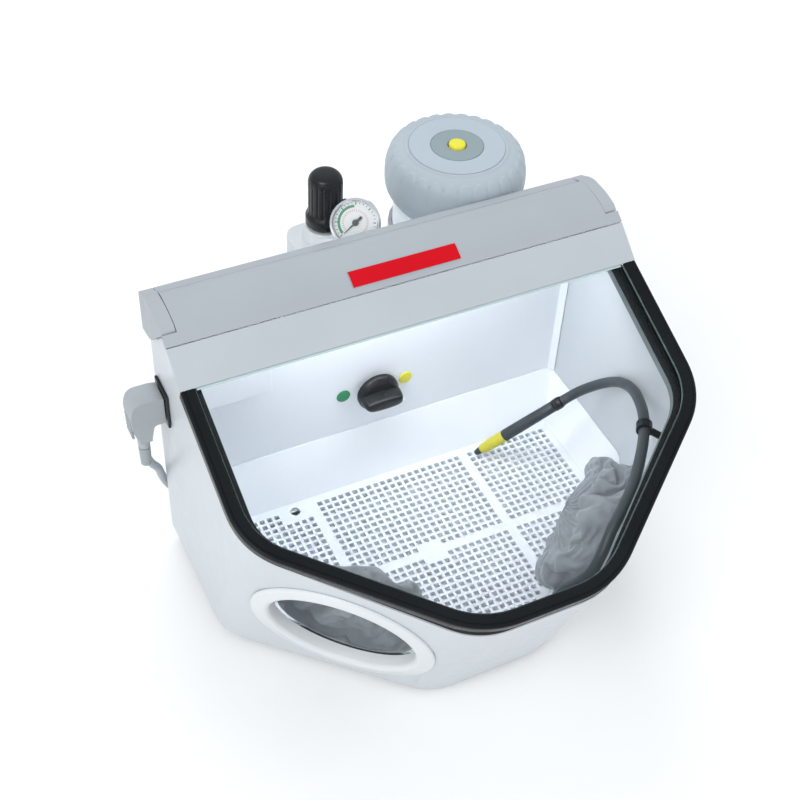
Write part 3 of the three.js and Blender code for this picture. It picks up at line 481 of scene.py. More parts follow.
def cord_piece(name, points, diameter, material, body, nodes):
    """A round cord along the points, as a curve of one open spline."""
    data = bpy.data.curves.new(name, "CURVE")
    data.dimensions = "3D"
    data.bevel_depth = diameter / 2
    data.bevel_resolution = 6
    data.use_fill_caps = True
    spline = data.splines.new("POLY")
    spline.points.add(len(points) - 1)
    for target, point in zip(spline.points, points):
        target.co = (*point, 1)
    spline.use_smooth = True
    data.materials.append(material)
    piece = bpy.data.objects.new(name, data)
    bpy.context.collection.objects.link(piece)
    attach(piece, body)
    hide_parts(*nodes)
    return piece


# ---- blasting hose and handpiece ----
def make_handpiece():
    """Ferrule, grip, coloured sleeve and tip, one behind the other from the hose to the nozzle."""
    base = at(*HANDPIECE_REAR)
    axis = at(*NOZZLE_END) - base
    total = axis.length
    stages = [
        ("ferrule", "handpiece_ferrule", KNOB,
         [(0, 0), (0.0047, 0), (0.0052, 0.0006), (0.0056, 0.0035), (0.0056, 0.0052),
          (0.0052, 0.0056), (0.0052, 0.0066), (0.0056, 0.007), (0.0054, 0.0086),
          (0.005, 0.009), (0, 0.009)]),
        ("grip", "handpiece_grip", SLATE,
         [(0, 0.0093), (0.0047, 0.0093), (0.0050, 0.0098), (0.0051, 0.022), (0.0053, 0.04),
          (0.0054, 0.058), (0.0054, 0.0625), (0.0051, 0.064), (0, 0.064)]),
        ("sleeve", "nozzle_sleeve", SLEEVE_YELLOW,
         [(0, 0.0643), (0.0050, 0.0643), (0.0054, 0.065), (0.0054, 0.070), (0.0052, 0.071),
          (0.0054, 0.072), (0.0053, 0.078), (0.0049, 0.084), (0.0042, 0.0885),
          (0.0038, 0.090), (0, 0.090)]),
        ("tip", "nozzle_tip", SLATE,
         [(0, 0.0903), (0.0030, 0.0903), (0.0032, 0.0908), (0.0031, 0.093),
          (0.0023, total - 0.0004), (0.0019, total), (0.0012, total), (0.0012, total - 0.003),
          (0, total - 0.003)]),
    ]
    return [turned(f"handpiece_{name}_skin", profile, base, axis, material, "cabinet", [node],
                   segments=40, angle=50)
            for name, node, material, profile in stages]


def make_hose():
    stages = make_handpiece()
    points = spline_points([at(*p) for p in HOSE_ROUTE])
    hose = cord_piece("blast_hose_skin", points, HOSE_DIAMETER, HOSE, "cabinet", ["blast_hose"])


# ---- mains lead ----
def coil_points():
    """Three turns inwards on the bench, then three turns outwards on top of them."""
    centre = at(COIL["x"], COIL["y"], 0)
    pitch = COIL["pitch"]
    turns = 6.125
    steps = 48
    points = []
    for i in range(1, int(turns * steps) + 1):
        s = i / steps
        part = s % 1
        jog = max(0.0, (part - 0.75) / 0.25)
        jog = jog * jog * (3 - 2 * jog)
        lap = int(s)
        if lap < 2:
            radius, lift = COIL["outer"] - pitch * (lap + jog), 0
        elif lap == 2:
            radius, lift = COIL["outer"] - 2 * pitch, jog
        else:
            radius = COIL["outer"] - 2 * pitch + pitch * min(lap - 3 + jog, 2)
            lift = 1
        turn = 2 * math.pi * s - math.pi / 2
        height = LEAD_DIAMETER / 2 + pitch * lift
        points.append(centre + Vector((radius * math.cos(turn), radius * math.sin(turn), height)))
    return points


def make_plug(start, along):
    """A round two-pin plug lying beside the coil, with a ribbed strain relief."""
    relief = [(0, 0)]
    for i in range(7):
        h = 0.0035 * i
        r = 0.0046 + 0.00035 * i
        relief += [(r, h), (r, h + 0.0021), (r - 0.0008, h + 0.0024), (r - 0.0008, h + 0.0033)]
    body = [(0.0075, 0.0245), (0.0132, 0.0285), (0.0145, 0.031), (0.0155, 0.035), (0.0155, 0.048),
            (0.0148, 0.0485), (0.0148, 0.0495), (0.0155, 0.050), (0.0155, 0.0605),
            (0.0148, 0.062), (0, 0.062)]
    plug = turned("mains_plug_skin", relief + body, start, along, CORD, "cabinet",
                  ["mains_plug"], segments=48, angle=40)
    pieces = [plug]
    across = along.cross(Vector((0, 0, 1))).normalized()
    for number, side in enumerate((-1, 1)):
        foot = start + across * 0.0095 * side + along * 0.062
        pin = [(0, 0), (0.0024, 0), (0.0024, 0.0165), (0.0018, 0.0182), (0.0008, 0.019), (0, 0.019)]
        pieces.append(turned(f"plug_pin_{number + 1}", pin, foot, along, STEEL, "cabinet",
                             segments=24))
    return pieces


def make_connector():
    """The angled appliance connector, with grip ribs and a ribbed boot round the lead."""
    head = refined("lead_connector", CORD, bevel=0.0016, segments=3)
    boot = [(0.0036, 0.0)]
    for i in range(8):
        h = 0.0024 * i
        r = 0.0044 + 0.00006 * i
        boot += [(r, h), (r, h + 0.0013), (r - 0.0006, h + 0.0015), (r - 0.0006, h + 0.0022)]
    boot += [(0.0048, 0.0192), (0.0036, 0.0192)]
    boot.append(boot[0])
    x, y, z = LEAD_ROUTE[0]
    relief = turned("lead_boot", boot, at(x, y, z - 0.0197), (0, 0, 1), CORD, "cabinet",
                    segments=32, angle=40)
    ribs = []
    for i in range(5):
        z = 0.166 + 0.0042 * i
        rib = bmesh.new()
        bmesh.ops.create_cube(rib, size=1)
        half_y = 0.0078
        rib.transform(Matrix.Translation(at(-0.2172 - 0.0001 * i, y, z))
                      @ Matrix.Diagonal((0.0022, 2 * half_y, 0.0016, 1)))
        ribs.append(put(f"connector_rib_{i + 1}", rib, CORD, "cabinet", bevel=0.0006))
    return [head, relief, *ribs]


def make_lead():
    coil = coil_points()
    lead_out = (coil[-1] - coil[-2])
    lead_out.z = 0
    lead_out.normalize()
    plug_axis_height = 0.0162
    start = coil[-1] + lead_out * 0.034
    start.z = plug_axis_height
    rise = [coil[-1] + lead_out * 0.012 + Vector((0, 0, 0.0015)),
            coil[-1] + lead_out * 0.023 + Vector((0, 0, 0.0045)), start - lead_out * 0.002]
    first = spline_points([*[at(*p) for p in LEAD_ROUTE], at(COIL["x"] - 0.012, 0.0145, 0.0035),
                           coil[0]], 5)
    last = spline_points([coil[-1], *rise], 4)
    points = first + coil[1:-1] + last
    plug = make_plug(start, lead_out)
    ends = make_connector()
    lead = cord_piece("mains_lead_skin", points, LEAD_DIAMETER, CORD, "cabinet",
                      ["mains_lead", "lead_coil"])


# ---- housing, tub, liner, grid ----
def make_housing():
    refined("housing_shell", WHITE, bevel=0.0008, segments=3)
    refined("chamber_tub", LINER, bevel=0.0010, angle=20, segments=3)
    refined("back_liner", LINER, bevel=0.0012, segments=3)
    refined("electrics_box", LINER, bevel=0.0012, segments=3, joined=False)
    refined("rear_strip", BAR, bevel=0.0005)
    for side in ("left", "right"):
        refined(f"end_cap_{side}", CAP_END, bevel=0.0008, segments=3)


def grid_lines(first, count, pitch, hole):
    """Edges of a row of holes centred on first, first + pitch, ..."""
    lines = []
    for i in range(count):
        middle = first + pitch * i
        lines += [middle - hole / 2, middle + hole / 2]
    return lines


def make_grid():
    """The perforated floor: square holes, solid ribs, a centre patch and one round hole."""
    pitch, hole = 0.00675, 0.00435
    rib = 0.07425
    cross = -0.139
    outline = [(-0.1645, -0.0415), (-0.1645, -0.1308), (-0.0473, -0.2375), (0.0473, -0.2375),
               (0.1645, -0.1308), (0.1645, -0.0415)]
    half = 24
    xs = grid_lines(-pitch * half, 2 * half + 1, pitch, hole)
    rows = 29
    first_y = cross - pitch * 14
    ys = grid_lines(first_y, rows, pitch, hole)
    bm = bmesh.new()
    columns = [-0.17, *xs, 0.17]
    lines = [-0.245, *ys, -0.040]
    points = [[bm.verts.new((x, y, 0)) for x in columns] for y in lines]

    def is_hole(i, j):
        if i % 2 == 0 or j % 2 == 0 or i > 2 * rows:
            return False
        x = (columns[j] + columns[j + 1]) / 2
        y = (lines[i] + lines[i + 1]) / 2
        margin = hole * 0.95
        if abs(abs(x) - rib) < pitch / 2 or abs(y - cross) < pitch / 2:
            return False
        if abs(x) < 1.6 * pitch and abs(y - cross) < 1.6 * pitch:
            return False
        if abs(x - ROUND_HOLE[0]) < 1.6 * pitch and abs(y - ROUND_HOLE[1]) < 1.6 * pitch:
            return False
        corners = [(x + sx * margin, y + sy * margin) for sx in (-1, 1) for sy in (-1, 1)]
        return all(inside(c, outline) for c in corners)

    for i in range(len(lines) - 1):
        for j in range(len(columns) - 1):
            if not is_hole(i, j):
                bm.faces.new([points[i][j], points[i][j + 1], points[i + 1][j + 1],
                              points[i + 1][j]])
    for a, b in zip(outline, outline[1:] + outline[:1]):
        edge = Vector((b[0] - a[0], b[1] - a[1], 0))
        outward = Vector((edge.y, -edge.x, 0)).normalized()
        everything = list(bm.verts) + list(bm.edges) + list(bm.faces)
        bmesh.ops.bisect_plane(bm, geom=everything, dist=1e-7, plane_co=(*a, 0),
                               plane_no=outward, clear_outer=True)
    cut_round_hole(bm, pitch)
    top = list(bm.faces)
    bmesh.ops.recalc_face_normals(bm, faces=top)
    body = bmesh.ops.extrude_face_region(bm, geom=top)["geom"]
    moved = [item for item in body if isinstance(item, bmesh.types.BMVert)]
    bmesh.ops.translate(bm, verts=moved, vec=(0, 0, -GRID_THICK))
    bm.transform(Matrix.Translation(at(0, 0, GRID_TOP)))
    put("floor_grid_skin", bm, GRID, "cabinet", ["floor_grid"], bevel=0.0003, angle=60,
        segments=1)


def inside(point, outline):
    """True on the inner side of every edge of a counter-clockwise outline."""
    for a, b in zip(outline, outline[1:] + outline[:1]):
        if (b[0] - a[0]) * (point[1] - a[1]) - (b[1] - a[1]) * (point[0] - a[0]) < 0:
            return False
    return True


def cut_round_hole(bm, pitch):
    """Opens the round hole: the faces of its island are swapped for a ring round the circle."""
    centre = Vector((*ROUND_HOLE, 0))
    reach = 1.25 * pitch
    island = [f for f in bm.faces
              if max(abs(c) for c in (f.calc_center_median() - centre)[:2]) < reach]
    bmesh.ops.delete(bm, geom=island, context="FACES_ONLY")
    loops = [e for e in bm.edges if len(e.link_faces) < 2
             and max(abs(c) for c in ((e.verts[0].co + e.verts[1].co) / 2 - centre)[:2])
             < reach + 0.6 * pitch]
    for e in [e for e in loops if len(e.link_faces) == 0]:
        loops.remove(e)
        bm.edges.remove(e)
    circle = []
    for i in range(28):
        turn = 2 * math.pi * i / 28
        circle.append(bm.verts.new(centre + Vector((math.cos(turn), math.sin(turn), 0))
                                   * ROUND_HOLE_RADIUS))
    round_edges = [bm.edges.new((a, b)) for a, b in zip(circle, circle[1:] + circle[:1])]
    bmesh.ops.triangle_fill(bm, edges=loops + round_edges, use_beauty=True)
    for vert in [v for v in bm.verts if not v.link_faces]:
        bm.verts.remove(vert)


# ---- window: trim, seal, pane, panel ----
def make_window():
    run = rounded_run(window_corners(LID, 0.0003), 0.030, 14)
    trim = [(0, 0.0014), (0.0004, 0.0004), (0.0014, 0), (0.0026, 0), (0.0029, 0.0004),
            (0.0034, 0.0004), (0.0037, 0), (0.0096, 0), (0.0106, 0.0004), (0.011, 0.0014),
            (0.011, 0.0032), (0.0048, 0.0032), (0.0048, 0.0078), (0.011, 0.0078),
            (0.011, 0.0092), (0.0102, 0.010), (0.0009, 0.010), (0, 0.0092)]
    swept("window_trim_skin", run, trim, BLACK, "lid", ["window_trim"], angle=50)
    # a thin raised bead along the trim's inner edge, coloured lighter as a painted highlight line
    bead_run = rounded_run(window_corners(LID, -0.0006), 0.030, 14)
    bead = [(0.0111, 0.0014), (0.0114, 0.0012), (0.0116, 0.0018), (0.0116, 0.0030),
            (0.0111, 0.0032)]
    swept("trim_highlight_bead", bead_run, bead, TRIM_HIGHLIGHT, "lid", angle=50)
    make_seal()
    refined("front_panel", PANEL, bevel=0.0005)
    refined("hinge_bar", BAR, bevel=0.0004, joined=False)
    refined("bar_label", RED, bevel=0.00015)
    refined("pane_clamp", BAR, bevel=0.0005)
    refined("window_pane", GLASS, bevel=0.0003)
    refined("lamp_housing", PALE, bevel=0.0006)
    refined("lamp_diffuser", LAMP, bevel=0.0006)
    # a thin strip under the front panel's lower edge that carries the painted glint of the glass
    # edge
    strip = bmesh.new()
    bmesh.ops.create_cube(strip, size=1)
    slope = Matrix.Rotation(TILT, 4, "X")
    strip.transform(Matrix.Translation(on_window(0, 0.0004, 0.0030)) @ slope
                    @ Matrix.Diagonal((0.360, 0.0024, 0.0008, 1)))
    put("panel_edge_glint", strip, GLASS_EDGE_GLINT, "lid", bevel=0.0002)


def make_seal():
    """Rubber seal on the housing's rim: a round bulb outside, a ribbed lip inside."""
    run = resampled(rounded_run(window_corners(SHELL, 0.0278), CORNER_REACH, 12), 0.0016)
    top, bottom = RIM_DEPTH - 0.0077, RIM_DEPTH - 0.0003
    profile = [(0.0006, top + 0.0016), (0.0012, top + 0.0006), (0.0024, top), (0.0106, top),
               (0.0120, top + 0.0008), (0.0122, top + 0.0020), (0.0116, top + 0.0037),
               (0.0122, bottom - 0.0014), (0.0120, bottom), (0.0010, bottom),
               (0.0006, bottom - 0.0016), (0.0012, bottom - 0.0030), (0.0012, top + 0.0030)]
    ribbed = {5, 6, 7}

    def swell(i, j):
        return -0.0005 if j in ribbed and i % 2 else 0.0

    # the inner lip's faces take the lighter copy of the rubber: painted light on the same black
    # rubber
    swept("rim_seal_skin", run, profile, [RUBBER, LIT_SEAL_FACE], "cabinet", ["rim_seal"],
          angle=60, second={4, 5, 6, 7}, swell=swell)


# ---- arm ports and their sleeves ----
def make_ring(side, name):
    r_in, r_out = PORT["opening"], PORT["flange"]
    profile = [(r_in, -0.008), (r_in, 0.0004), (r_in + 0.0006, 0.0016), (r_in + 0.0018, 0.0031),
               (r_in + 0.0034, 0.0039), (r_in + 0.0052, 0.004), (r_in + 0.0062, 0.0036),
               (r_out - 0.0022, 0.0032), (r_out - 0.0008, 0.0025), (r_out, 0.0012),
               (r_out, 0.0003), (PORT["hole"], 0.0003), (PORT["hole"], -0.008)]
    profile.append(profile[0])
    turned(f"arm_ring_{name}_skin", profile, port_centre(side), port_axis(side), PORT_WHITE,
           "cabinet", [f"arm_ring_{name}"], segments=128, angle=60)


SLEEVE_LINE = [(0.0560, 0.0088), (0.0575, 0.0120), (0.0598, 0.0190), (0.0600, 0.0270),
               (0.0575, 0.0360), (0.0500, 0.0430), (0.0390, 0.0470), (0.0270, 0.0485),
               (0.0170, 0.0470), (0.0090, 0.0435)]


def sleeve_mesh(side, around=132, along=34):
    """The sleeve as sewn: a gathered bag from the ring to a narrow cuff, in soft pleats."""
    line = spline_points([Vector((r, d, 0)) for r, d in SLEEVE_LINE], 8)
    total = run_length(line)
    line = resampled(line, total / along)[:along + 1]
    bm = bmesh.new()
    uv = bm.loops.layers.uv.new("weave")
    rings = []
    for j, point in enumerate(line):
        f = j / (len(line) - 1)
        ring = []
        for i in range(around):
            turn = 2 * math.pi * i / around
            seed = Vector((math.cos(turn) * 2.2, math.sin(turn) * 2.2, f * 1.4 + side * 7))
            pleat = noise.noise(seed) * 0.006 + math.sin(turn * 11 + 4 * noise.noise(seed)) * 0.0022
            fade = math.sin(math.pi * min(1, f * 1.15)) ** 0.8
            radius = point.x + pleat * fade * min(1, point.x / 0.03)
            depth = point.y + noise.noise(seed * 1.7) * 0.006 * fade
            spot = Vector((radius * math.cos(turn), radius * math.sin(turn), -depth))
            ring.append(bm.verts.new(spot))
        rings.append(ring)
    for j, (low, high) in enumerate(zip(rings, rings[1:])):
        for i in range(around):
            k = (i + 1) % around
            face = bm.faces.new([low[i], low[k], high[k], high[i]])
            spots = [(i, j), (i + 1, j), (i + 1, j + 1), (i, j + 1)]
            for loop, (u, v) in zip(face.loops, spots):
                loop[uv].uv = (u / around * 3.4, v / along)
    bm.transform(axis_frame(port_centre(side), port_axis(side)))
    return bm, around, len(line)


def hang_cloth(piece, around, rings):
    """Lets the sleeve's spare cloth fold and sag, held at its ring and at its cuff."""
    held = piece.vertex_groups.new(name="held")
    last = (rings - 1) * around
    held.add(list(range(2 * around)) + list(range(last, last + around)), 1.0, "REPLACE")
    cloth = piece.modifiers.new("hang", "CLOTH")
    settings = cloth.settings
    settings.quality = 8
    settings.mass = 0.12
    settings.tension_stiffness = 18
    settings.compression_stiffness = 8
    settings.shear_stiffness = 4
    settings.bending_stiffness = 0.08
    settings.shrink_min = -0.13
    settings.vertex_group_mass = "held"
    settings.effector_weights.gravity = 0.5
    cloth.collision_settings.use_self_collision = True
    cloth.collision_settings.self_distance_min = 0.0012
    scene = bpy.context.scene
    for step in range(1, 24):
        scene.frame_set(step)
    settled = bpy.data.meshes.new_from_object(
        piece.evaluated_get(bpy.context.evaluated_depsgraph_get()))
    piece.modifiers.remove(cloth)
    piece.data = settled
    scene.frame_set(1)


def keep_clear(piece, side):
    """Holds the cloth within the sleeve's space: off the grid and off the hose."""
    centre, axis = port_centre(side), port_axis(side)
    for vertex in piece.data.vertices:
        arm = vertex.co - centre
        depth = arm.dot(axis)
        radial = arm - axis * depth
        limit = 0.0585 + min(0.0085, max(0.0, (-depth - 0.012) * 0.6))
        if radial.length > limit:
            radial *= limit / radial.length
        depth = min(-0.0085, max(-0.062, depth))
        spot = centre + axis * depth + radial
        spot.z = max(spot.z, GRID_TOP + 0.0012)
        vertex.co = spot


def make_sleeve(side, name):
    bm, around, rings = sleeve_mesh(side)
    mesh = bpy.data.meshes.new(f"arm_sleeve_{name}_cloth")
    bm.to_mesh(mesh)
    flat_area = sum(face.calc_area() for face in bm.faces)
    bm.free()
    mesh.shade_smooth()
    mesh.materials.append(FABRIC)
    piece = bpy.data.objects.new(f"arm_sleeve_{name}_cloth", mesh)
    bpy.context.collection.objects.link(piece)
    hang_cloth(piece, around, rings)
    keep_clear(piece, side)
    piece.data.shade_smooth()
    body = piece.modifiers.new("body", "SOLIDIFY")
    body.thickness = 0.0007
    body.offset = 0
    smooth = piece.modifiers.new("smooth", "SUBSURF")
    smooth.levels = 1
    smooth.render_levels = 1
    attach(piece, "cabinet")
    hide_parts(f"arm_sleeve_{name}")


# ---- fittings inside ----
def make_selector():
    """Round black knob with a raised grip and a white pointer mark."""
    base = at(SELECTOR["x"], SELECTOR["y"], SELECTOR["z"])
    out = Vector((0, -1, 0))
    r = SELECTOR["radius"]
    disc = [(0, 0), (r - 0.0012, 0), (r, 0.001), (r, 0.0042), (r - 0.001, 0.0058),
            (r - 0.0032, 0.0078), (r - 0.0042, 0.0082), (0, 0.0082)]
    turned("selector_disc", disc, base, out, KNOB, "selector", ["selector_knob"], segments=72,
           angle=50)
    bm = bmesh.new()
    rows = 9
    columns = 24
    half_wide, tall = 0.0064, 0.0126
    reach = r - 0.0006
    rings = []
    for j in range(rows):
        f = j / (rows - 1)
        height = 0.0078 + tall * math.sin(f * math.pi / 2)
        shrink = math.cos(f * math.pi / 2) ** 0.35 if j < rows - 1 else 0.0
        ring = []
        for i in range(columns):
            turn = 2 * math.pi * i / columns
            c, s = math.cos(turn), math.sin(turn)
            x = reach * math.copysign(abs(c) ** 0.75, c) * (0.55 + 0.45 * shrink)
            y = half_wide * math.copysign(abs(s) ** 0.6, s) * (0.35 + 0.65 * shrink)
            ring.append(bm.verts.new((x, y, height)))
        rings.append(ring)
    for low, high in zip(rings, rings[1:]):
        for i in range(columns):
            k = (i + 1) % columns
            bm.faces.new([low[i], low[k], high[k], high[i]])
    bm.faces.new(rings[-1])
    bm.faces.new(rings[0])
    bm.transform(Matrix.Translation(base) @ Matrix.Rotation(math.pi / 2, 4, "X"))
    put("selector_grip", bm, KNOB, "selector", angle=50)
    mark = bmesh.new()
    bmesh.ops.create_cube(mark, size=1)
    mark.transform(Matrix.Translation(base + Vector((r * 0.80, -0.0128, 0)))
                   @ Matrix.Diagonal((0.0050, 0.0140, 0.0012, 1)))
    put("selector_mark", mark, DIAL, "selector", bevel=0.0004)
    for node, material in (("green_dot", GREEN), ("yellow_dot", YELLOW)):
        low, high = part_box(node)
        radius = (high[0] - low[0]) / 2
        centre = Vector(((low[0] + high[0]) / 2, high[1], (low[2] + high[2]) / 2))
        dot = [(0, 0), (radius, 0), (radius, 0.0004), (radius - 0.0004, 0.0008),
               (radius * 0.6, 0.001), (0, 0.00108)]
        turned(f"{node}_skin", dot, centre, out, material, "cabinet", [node], segments=48)


def make_small_fittings():
    for node, material in (("selector_spindle", STEEL), ("selector_valve", BRASS),
                           ("hose_bulkhead", BRASS), ("hose_clip", BLACK),
                           ("extraction_port", PALE), ("hinge_pin_left", STEEL),
                           ("hinge_pin_right", STEEL), ("tank_bracket", STEEL),
                           ("tank_outlet", BRASS), ("cap_seal_disc", RUBBER),
                           ("regulator_bracket", STEEL), ("regulator_spindle", STEEL),
                           ("air_inlet", BRASS)):
        refined(node, material, bevel=0.0004)
    refined("mains_inlet", KNOB, bevel=0.0008)
    for i in range(4):
        refined(f"foot_{i + 1}", RUBBER, bevel=0.0006)


# ---- tank ----
def make_tank():
    base = at(TANK["x"], TANK["y"], 0)
    up = (0, 0, 1)
    r = TANK["radius"]
    tank = [(0.008, 0.128), (0.013, 0.128), (0.0145, 0.1288), (r - 0.001, 0.1642), (r, 0.1675),
            (r, 0.2415), (r - 0.001, 0.2432), (0.0468, 0.2476), (0.046, 0.2488), (0.046, 0.2832),
            (0.0452, 0.284), (0.0438, 0.284), (0.043, 0.2832), (0.043, 0.247), (r - 0.003, 0.241),
            (r - 0.003, 0.1665), (0.008, 0.134)]
    tank.append(tank[0])
    turned("tank_body_skin", tank, base, up, TANK_SKIN, "cabinet", ["tank_body"], 96, 40)
    make_cap(base)


def make_cap(base):
    """The cap: petal scallops round the shoulder, a plain ring, a disc and a button on top."""
    top = TANK["top"]
    outer = TANK["cap_radius"]
    lobes = TANK["lobes"]
    outside = [(0.0490, 0.2476), (0.0505, 0.2484), (0.0535, 0.2520), (0.0566, 0.2565),
               (0.0590, 0.2620), (outer, 0.2690), (outer, 0.2770), (0.0592, 0.2840),
               (0.0577, 0.2895), (0.0554, 0.2938), (0.0523, 0.2970), (0.0490, 0.2988),
               (0.0455, 0.2998), (0.0425, 0.3000)]
    skin = spline_points([Vector((r, h, 0)) for r, h in outside], 6)
    run = run_length(skin)
    inside_rows = [(0.0412, 0.2998), (0.0408, 0.2994), (0.0090, 0.2994), (0.0082, 0.2988),
                   (0.0079, 0.2940), (0.0079, 0.2924), (0.0475, 0.2924), (0.0475, 0.2700)]
    rows = [(p.x, p.y) for p in resampled(skin, run / 90)] + inside_rows
    rows.append(rows[0])
    heart = (0.038, 0.268)                        # centre that the shoulder curves round
    low_arch, arch_rise, edge_step = 0.2915, 0.0055, 0.0012

    def petal(radius, height, turn):
        if radius < 0.0432 or height < 0.262:
            return radius, height
        across = (turn * lobes / (2 * math.pi)) % 1 * 2 - 1
        crown = math.sqrt(max(0.0, 1 - across * across))
        below = 1 / (1 + math.exp((height - low_arch - arch_rise * crown) / 0.00030))
        fade = min(1, (height - 0.262) / 0.018)
        edge = min(1, (radius - 0.0432) / 0.002)
        sink = edge_step * edge * fade * (1 - below * (0.35 + 0.65 * crown))
        out = Vector((radius - heart[0], height - heart[1])).normalized()
        return radius - out.x * sink, height - out.y * sink

    turned("tank_cap_skin", rows, base, (0, 0, 1), CAP_SKIN, "tank_lid", ["tank_cap"],
           segments=lobes * 14, angle=60, shape=petal)
    ring = [(0.0226, top - 0.0011), (0.0226, top - 0.0007), (0.0230, top - 0.0004),
            (0.0402, top - 0.0004), (0.0406, top - 0.0007), (0.0406, top - 0.0011)]
    ring.append(ring[0])
    turned("cap_plain_ring", ring, base, (0, 0, 1), CAP_RING, "tank_lid", segments=120)
    disc = [(0.0082, top - 0.0011), (0.0082, top - 0.0006), (0.0086, top - 0.0003),
            (0.0218, top - 0.0003), (0.0222, top - 0.0006), (0.0222, top - 0.0011)]
    disc.append(disc[0])
    turned("cap_centre_disc", disc, base, (0, 0, 1), CAP_DISC, "tank_lid", segments=96)
    button = [(0, 0.293), (0.0071, 0.293), (0.0071, top + 0.0006), (0.0066, top + 0.0014),
              (0.005, top + 0.0018), (0, top + 0.0019)]
    turned("cap_button_skin", button, base, (0, 0, 1), YELLOW, "tank_lid", ["cap_button"],
           segments=48)


# ---- regulator and gauge ----
def make_regulator():
    refined("regulator_body", PALE, bevel=0.0028, segments=4, angle=25)
    base = at(REGULATOR["x"], REGULATOR["y"], 0)
    low, high = REGULATOR["knob_base"], REGULATOR["knob_top"]
    profile = [(0.0046, low), (0.0158, low), (0.0165, low + 0.0008), (0.0165, low + 0.0078),
               (0.0160, low + 0.0090), (0.0146, low + 0.0112), (0.0142, low + 0.0124)]
    for i in range(1, 9):
        profile.append((0.0142, low + 0.0124 + (high - low - 0.0204) * i / 8))
    profile += [(0.0140, high - 0.0066), (0.0133, high - 0.0045), (0.0128, high - 0.0036),
                (0.0124, high - 0.0036), (0.0120, high - 0.0026), (0.0106, high - 0.0012),
                (0.0080, high - 0.0004), (0.0040, high), (0, high), (0, high - 0.003),
                (0.0046, high - 0.003)]
    profile.append(profile[0])

    def flutes(radius, height, turn):
        if radius < 0.0138 or not low + 0.012 < height < high - 0.006:
            return radius, height
        return radius - 0.0006 * max(0.0, math.cos(turn * 18)) ** 2, height

    turned("regulator_knob_skin", profile, base, (0, 0, 1), KNOB, "regulator_cap",
           ["regulator_knob"], segments=144, angle=50, shape=flutes)


def gauge_spot(angle, radius, height):
    """A point on the dial, angle in degrees clockwise from straight up as its reader sees it."""
    axis = gauge_axis()
    right = Vector((0, 0, 1)).cross(axis).normalized()
    up = axis.cross(right)
    a = math.radians(angle)
    centre = at(GAUGE["x"], GAUGE["y"], GAUGE["z"])
    return centre + (right * math.sin(a) + up * math.cos(a)) * radius + axis * height


def dial_band(first, last, inner, outer, low=-0.0003, high=-0.0001, steps=1):
    """A thin raised band on the dial between two angles."""
    bm = bmesh.new()
    layers = []
    for height in (low, high):
        for radius in (inner, outer):
            layers.append([bm.verts.new(gauge_spot(first + (last - first) * i / steps, radius,
                                                   height)) for i in range(steps + 1)])
    low_in, low_out, high_in, high_out = layers
    for a, b in ((low_in, low_out), (low_out, high_out), (high_out, high_in), (high_in, low_in)):
        for i in range(steps):
            bm.faces.new([a[i], a[i + 1], b[i + 1], b[i]])
    for i in (0, steps):
        bm.faces.new([low_in[i], low_out[i], high_out[i], high_in[i]])
    return bm


def merged(parts):
    """One bmesh of several."""
    whole = bmesh.new()
    for part in parts:
        mesh = bpy.data.meshes.new("part")
        part.to_mesh(mesh)
        part.free()
        whole.from_mesh(mesh)
        bpy.data.meshes.remove(mesh)
    return whole


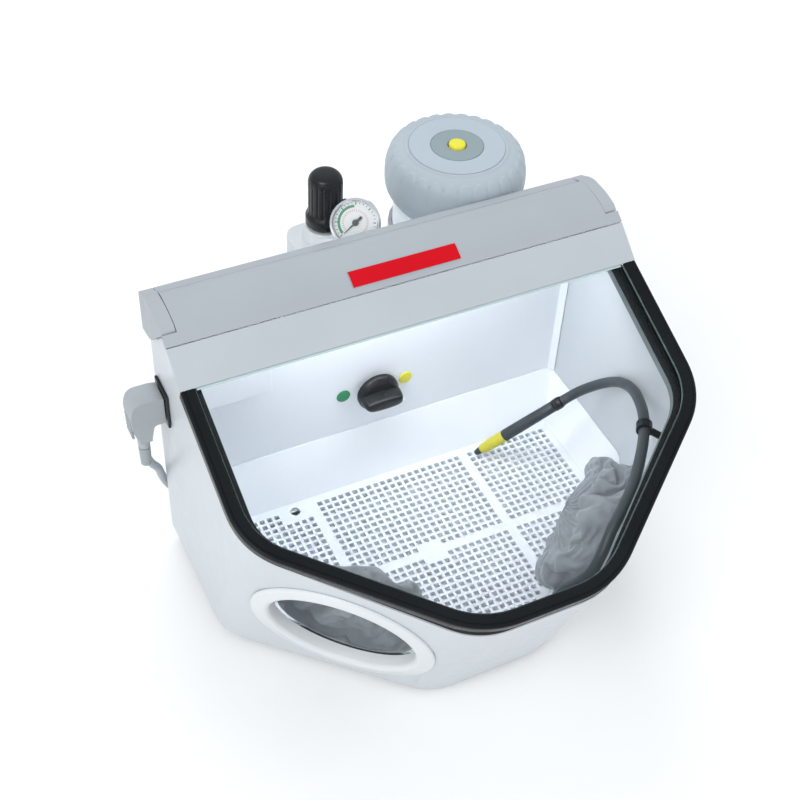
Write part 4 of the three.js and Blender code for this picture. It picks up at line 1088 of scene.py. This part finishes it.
def make_gauge():
    """Pressure gauge: chrome case and bezel, printed dial with plain scale marks, hand, lens."""
    centre, axis = at(GAUGE["x"], GAUGE["y"], GAUGE["z"]), gauge_axis()
    r = GAUGE["radius"]
    refined("gauge_case", CHROME, bevel=0.0004, angle=25)
    dial = [(0.0023, -0.0011), (r - 0.0031, -0.0011), (r - 0.0031, -0.0003), (0.0023, -0.0003)]
    dial.append(dial[0])
    turned("gauge_dial_skin", dial, centre, axis, DIAL, "cabinet", ["gauge_dial"], segments=96)
    black, red = [], []
    for i in range(25):
        angle = DIAL_START + DIAL_SWEEP * i / 24
        long_tick = i % 4 == 0
        half = 1.2 if long_tick else 0.6
        inner = r - (0.0062 if long_tick else 0.0054)
        black.append(dial_band(angle - half, angle + half, inner, r - 0.0040))
    for i in range(28):
        angle = DIAL_START + DIAL_SWEEP * i / 27
        red.append(dial_band(angle - 1.1, angle + 1.1, r * 0.44, r * 0.52))
    put("gauge_marks_outer", merged(black), DIAL_BLACK, "cabinet")
    put("gauge_marks_inner", merged(red), DIAL_RED, "cabinet")
    arc = dial_band(DIAL_START + 4, -5, r * 0.60, r * 0.70, steps=40)
    put("gauge_green_band", arc, DIAL_GREEN, "cabinet")
    make_hand()
    lens = [(0, 0.0023), (r - 0.0031, 0.0023), (r - 0.0031, 0.0028), (r * 0.6, 0.0032),
            (0, 0.0034)]
    turned("gauge_lens_skin", lens, centre, axis, LENS, "cabinet", ["gauge_lens"], segments=72)


def make_hand():
    """The gauge's hand: a slim pointer, a thick short tail, and a hub."""
    bm = bmesh.new()
    outline = [(-0.0012, -0.0068), (0.0012, -0.0068), (0.0010, -0.0010), (0.0006, 0.0030),
               (0.0002, 0.0128), (-0.0002, 0.0128), (-0.0006, 0.0030), (-0.0010, -0.0010)]
    along = (gauge_spot(DIAL_START, 1, 0) - gauge_spot(0, 0, 0)).normalized()
    axis = gauge_axis()
    across = along.cross(axis)
    centre = gauge_spot(0, 0, 0)
    layers = [[bm.verts.new(centre + across * x + along * y + axis * h) for x, y in outline]
              for h in (0.0009, 0.0015)]
    bm.faces.new(layers[0])
    bm.faces.new(layers[1])
    for i in range(len(outline)):
        k = (i + 1) % len(outline)
        bm.faces.new([layers[0][i], layers[0][k], layers[1][k], layers[1][i]])
    put("gauge_hand_skin", bm, DIAL_BLACK, "gauge_hand", ["gauge_needle"])
    hub = [(0, -0.0034), (0.0015, -0.0034), (0.0015, 0.0003), (0.0026, 0.0004), (0.0026, 0.0016),
           (0.0021, 0.0019), (0, 0.0020)]
    turned("gauge_hub", hub, centre, axis, DIAL_BLACK, "gauge_hand", segments=32)


def make_floor():
    bm = bmesh.new()
    bmesh.ops.create_grid(bm, x_segments=1, y_segments=1, size=6)
    mesh = bpy.data.meshes.new("floor")
    bm.to_mesh(mesh)
    bm.free()
    mesh.materials.append(surface("floor_pale", (0.93, 0.93, 0.93), 0.7, mottle=0.0))
    floor = bpy.data.objects.new("floor", mesh)
    floor.location.z = -0.0005
    bpy.context.collection.objects.link(floor)


make_camera()
make_lead()
make_hose()
make_light()
make_floor()
make_housing()
make_grid()
make_window()
for side, name in ((-1, "left"), (1, "right")):
    make_ring(side, name)
    make_sleeve(side, name)
make_selector()
make_small_fittings()
make_tank()
make_regulator()
make_gauge()
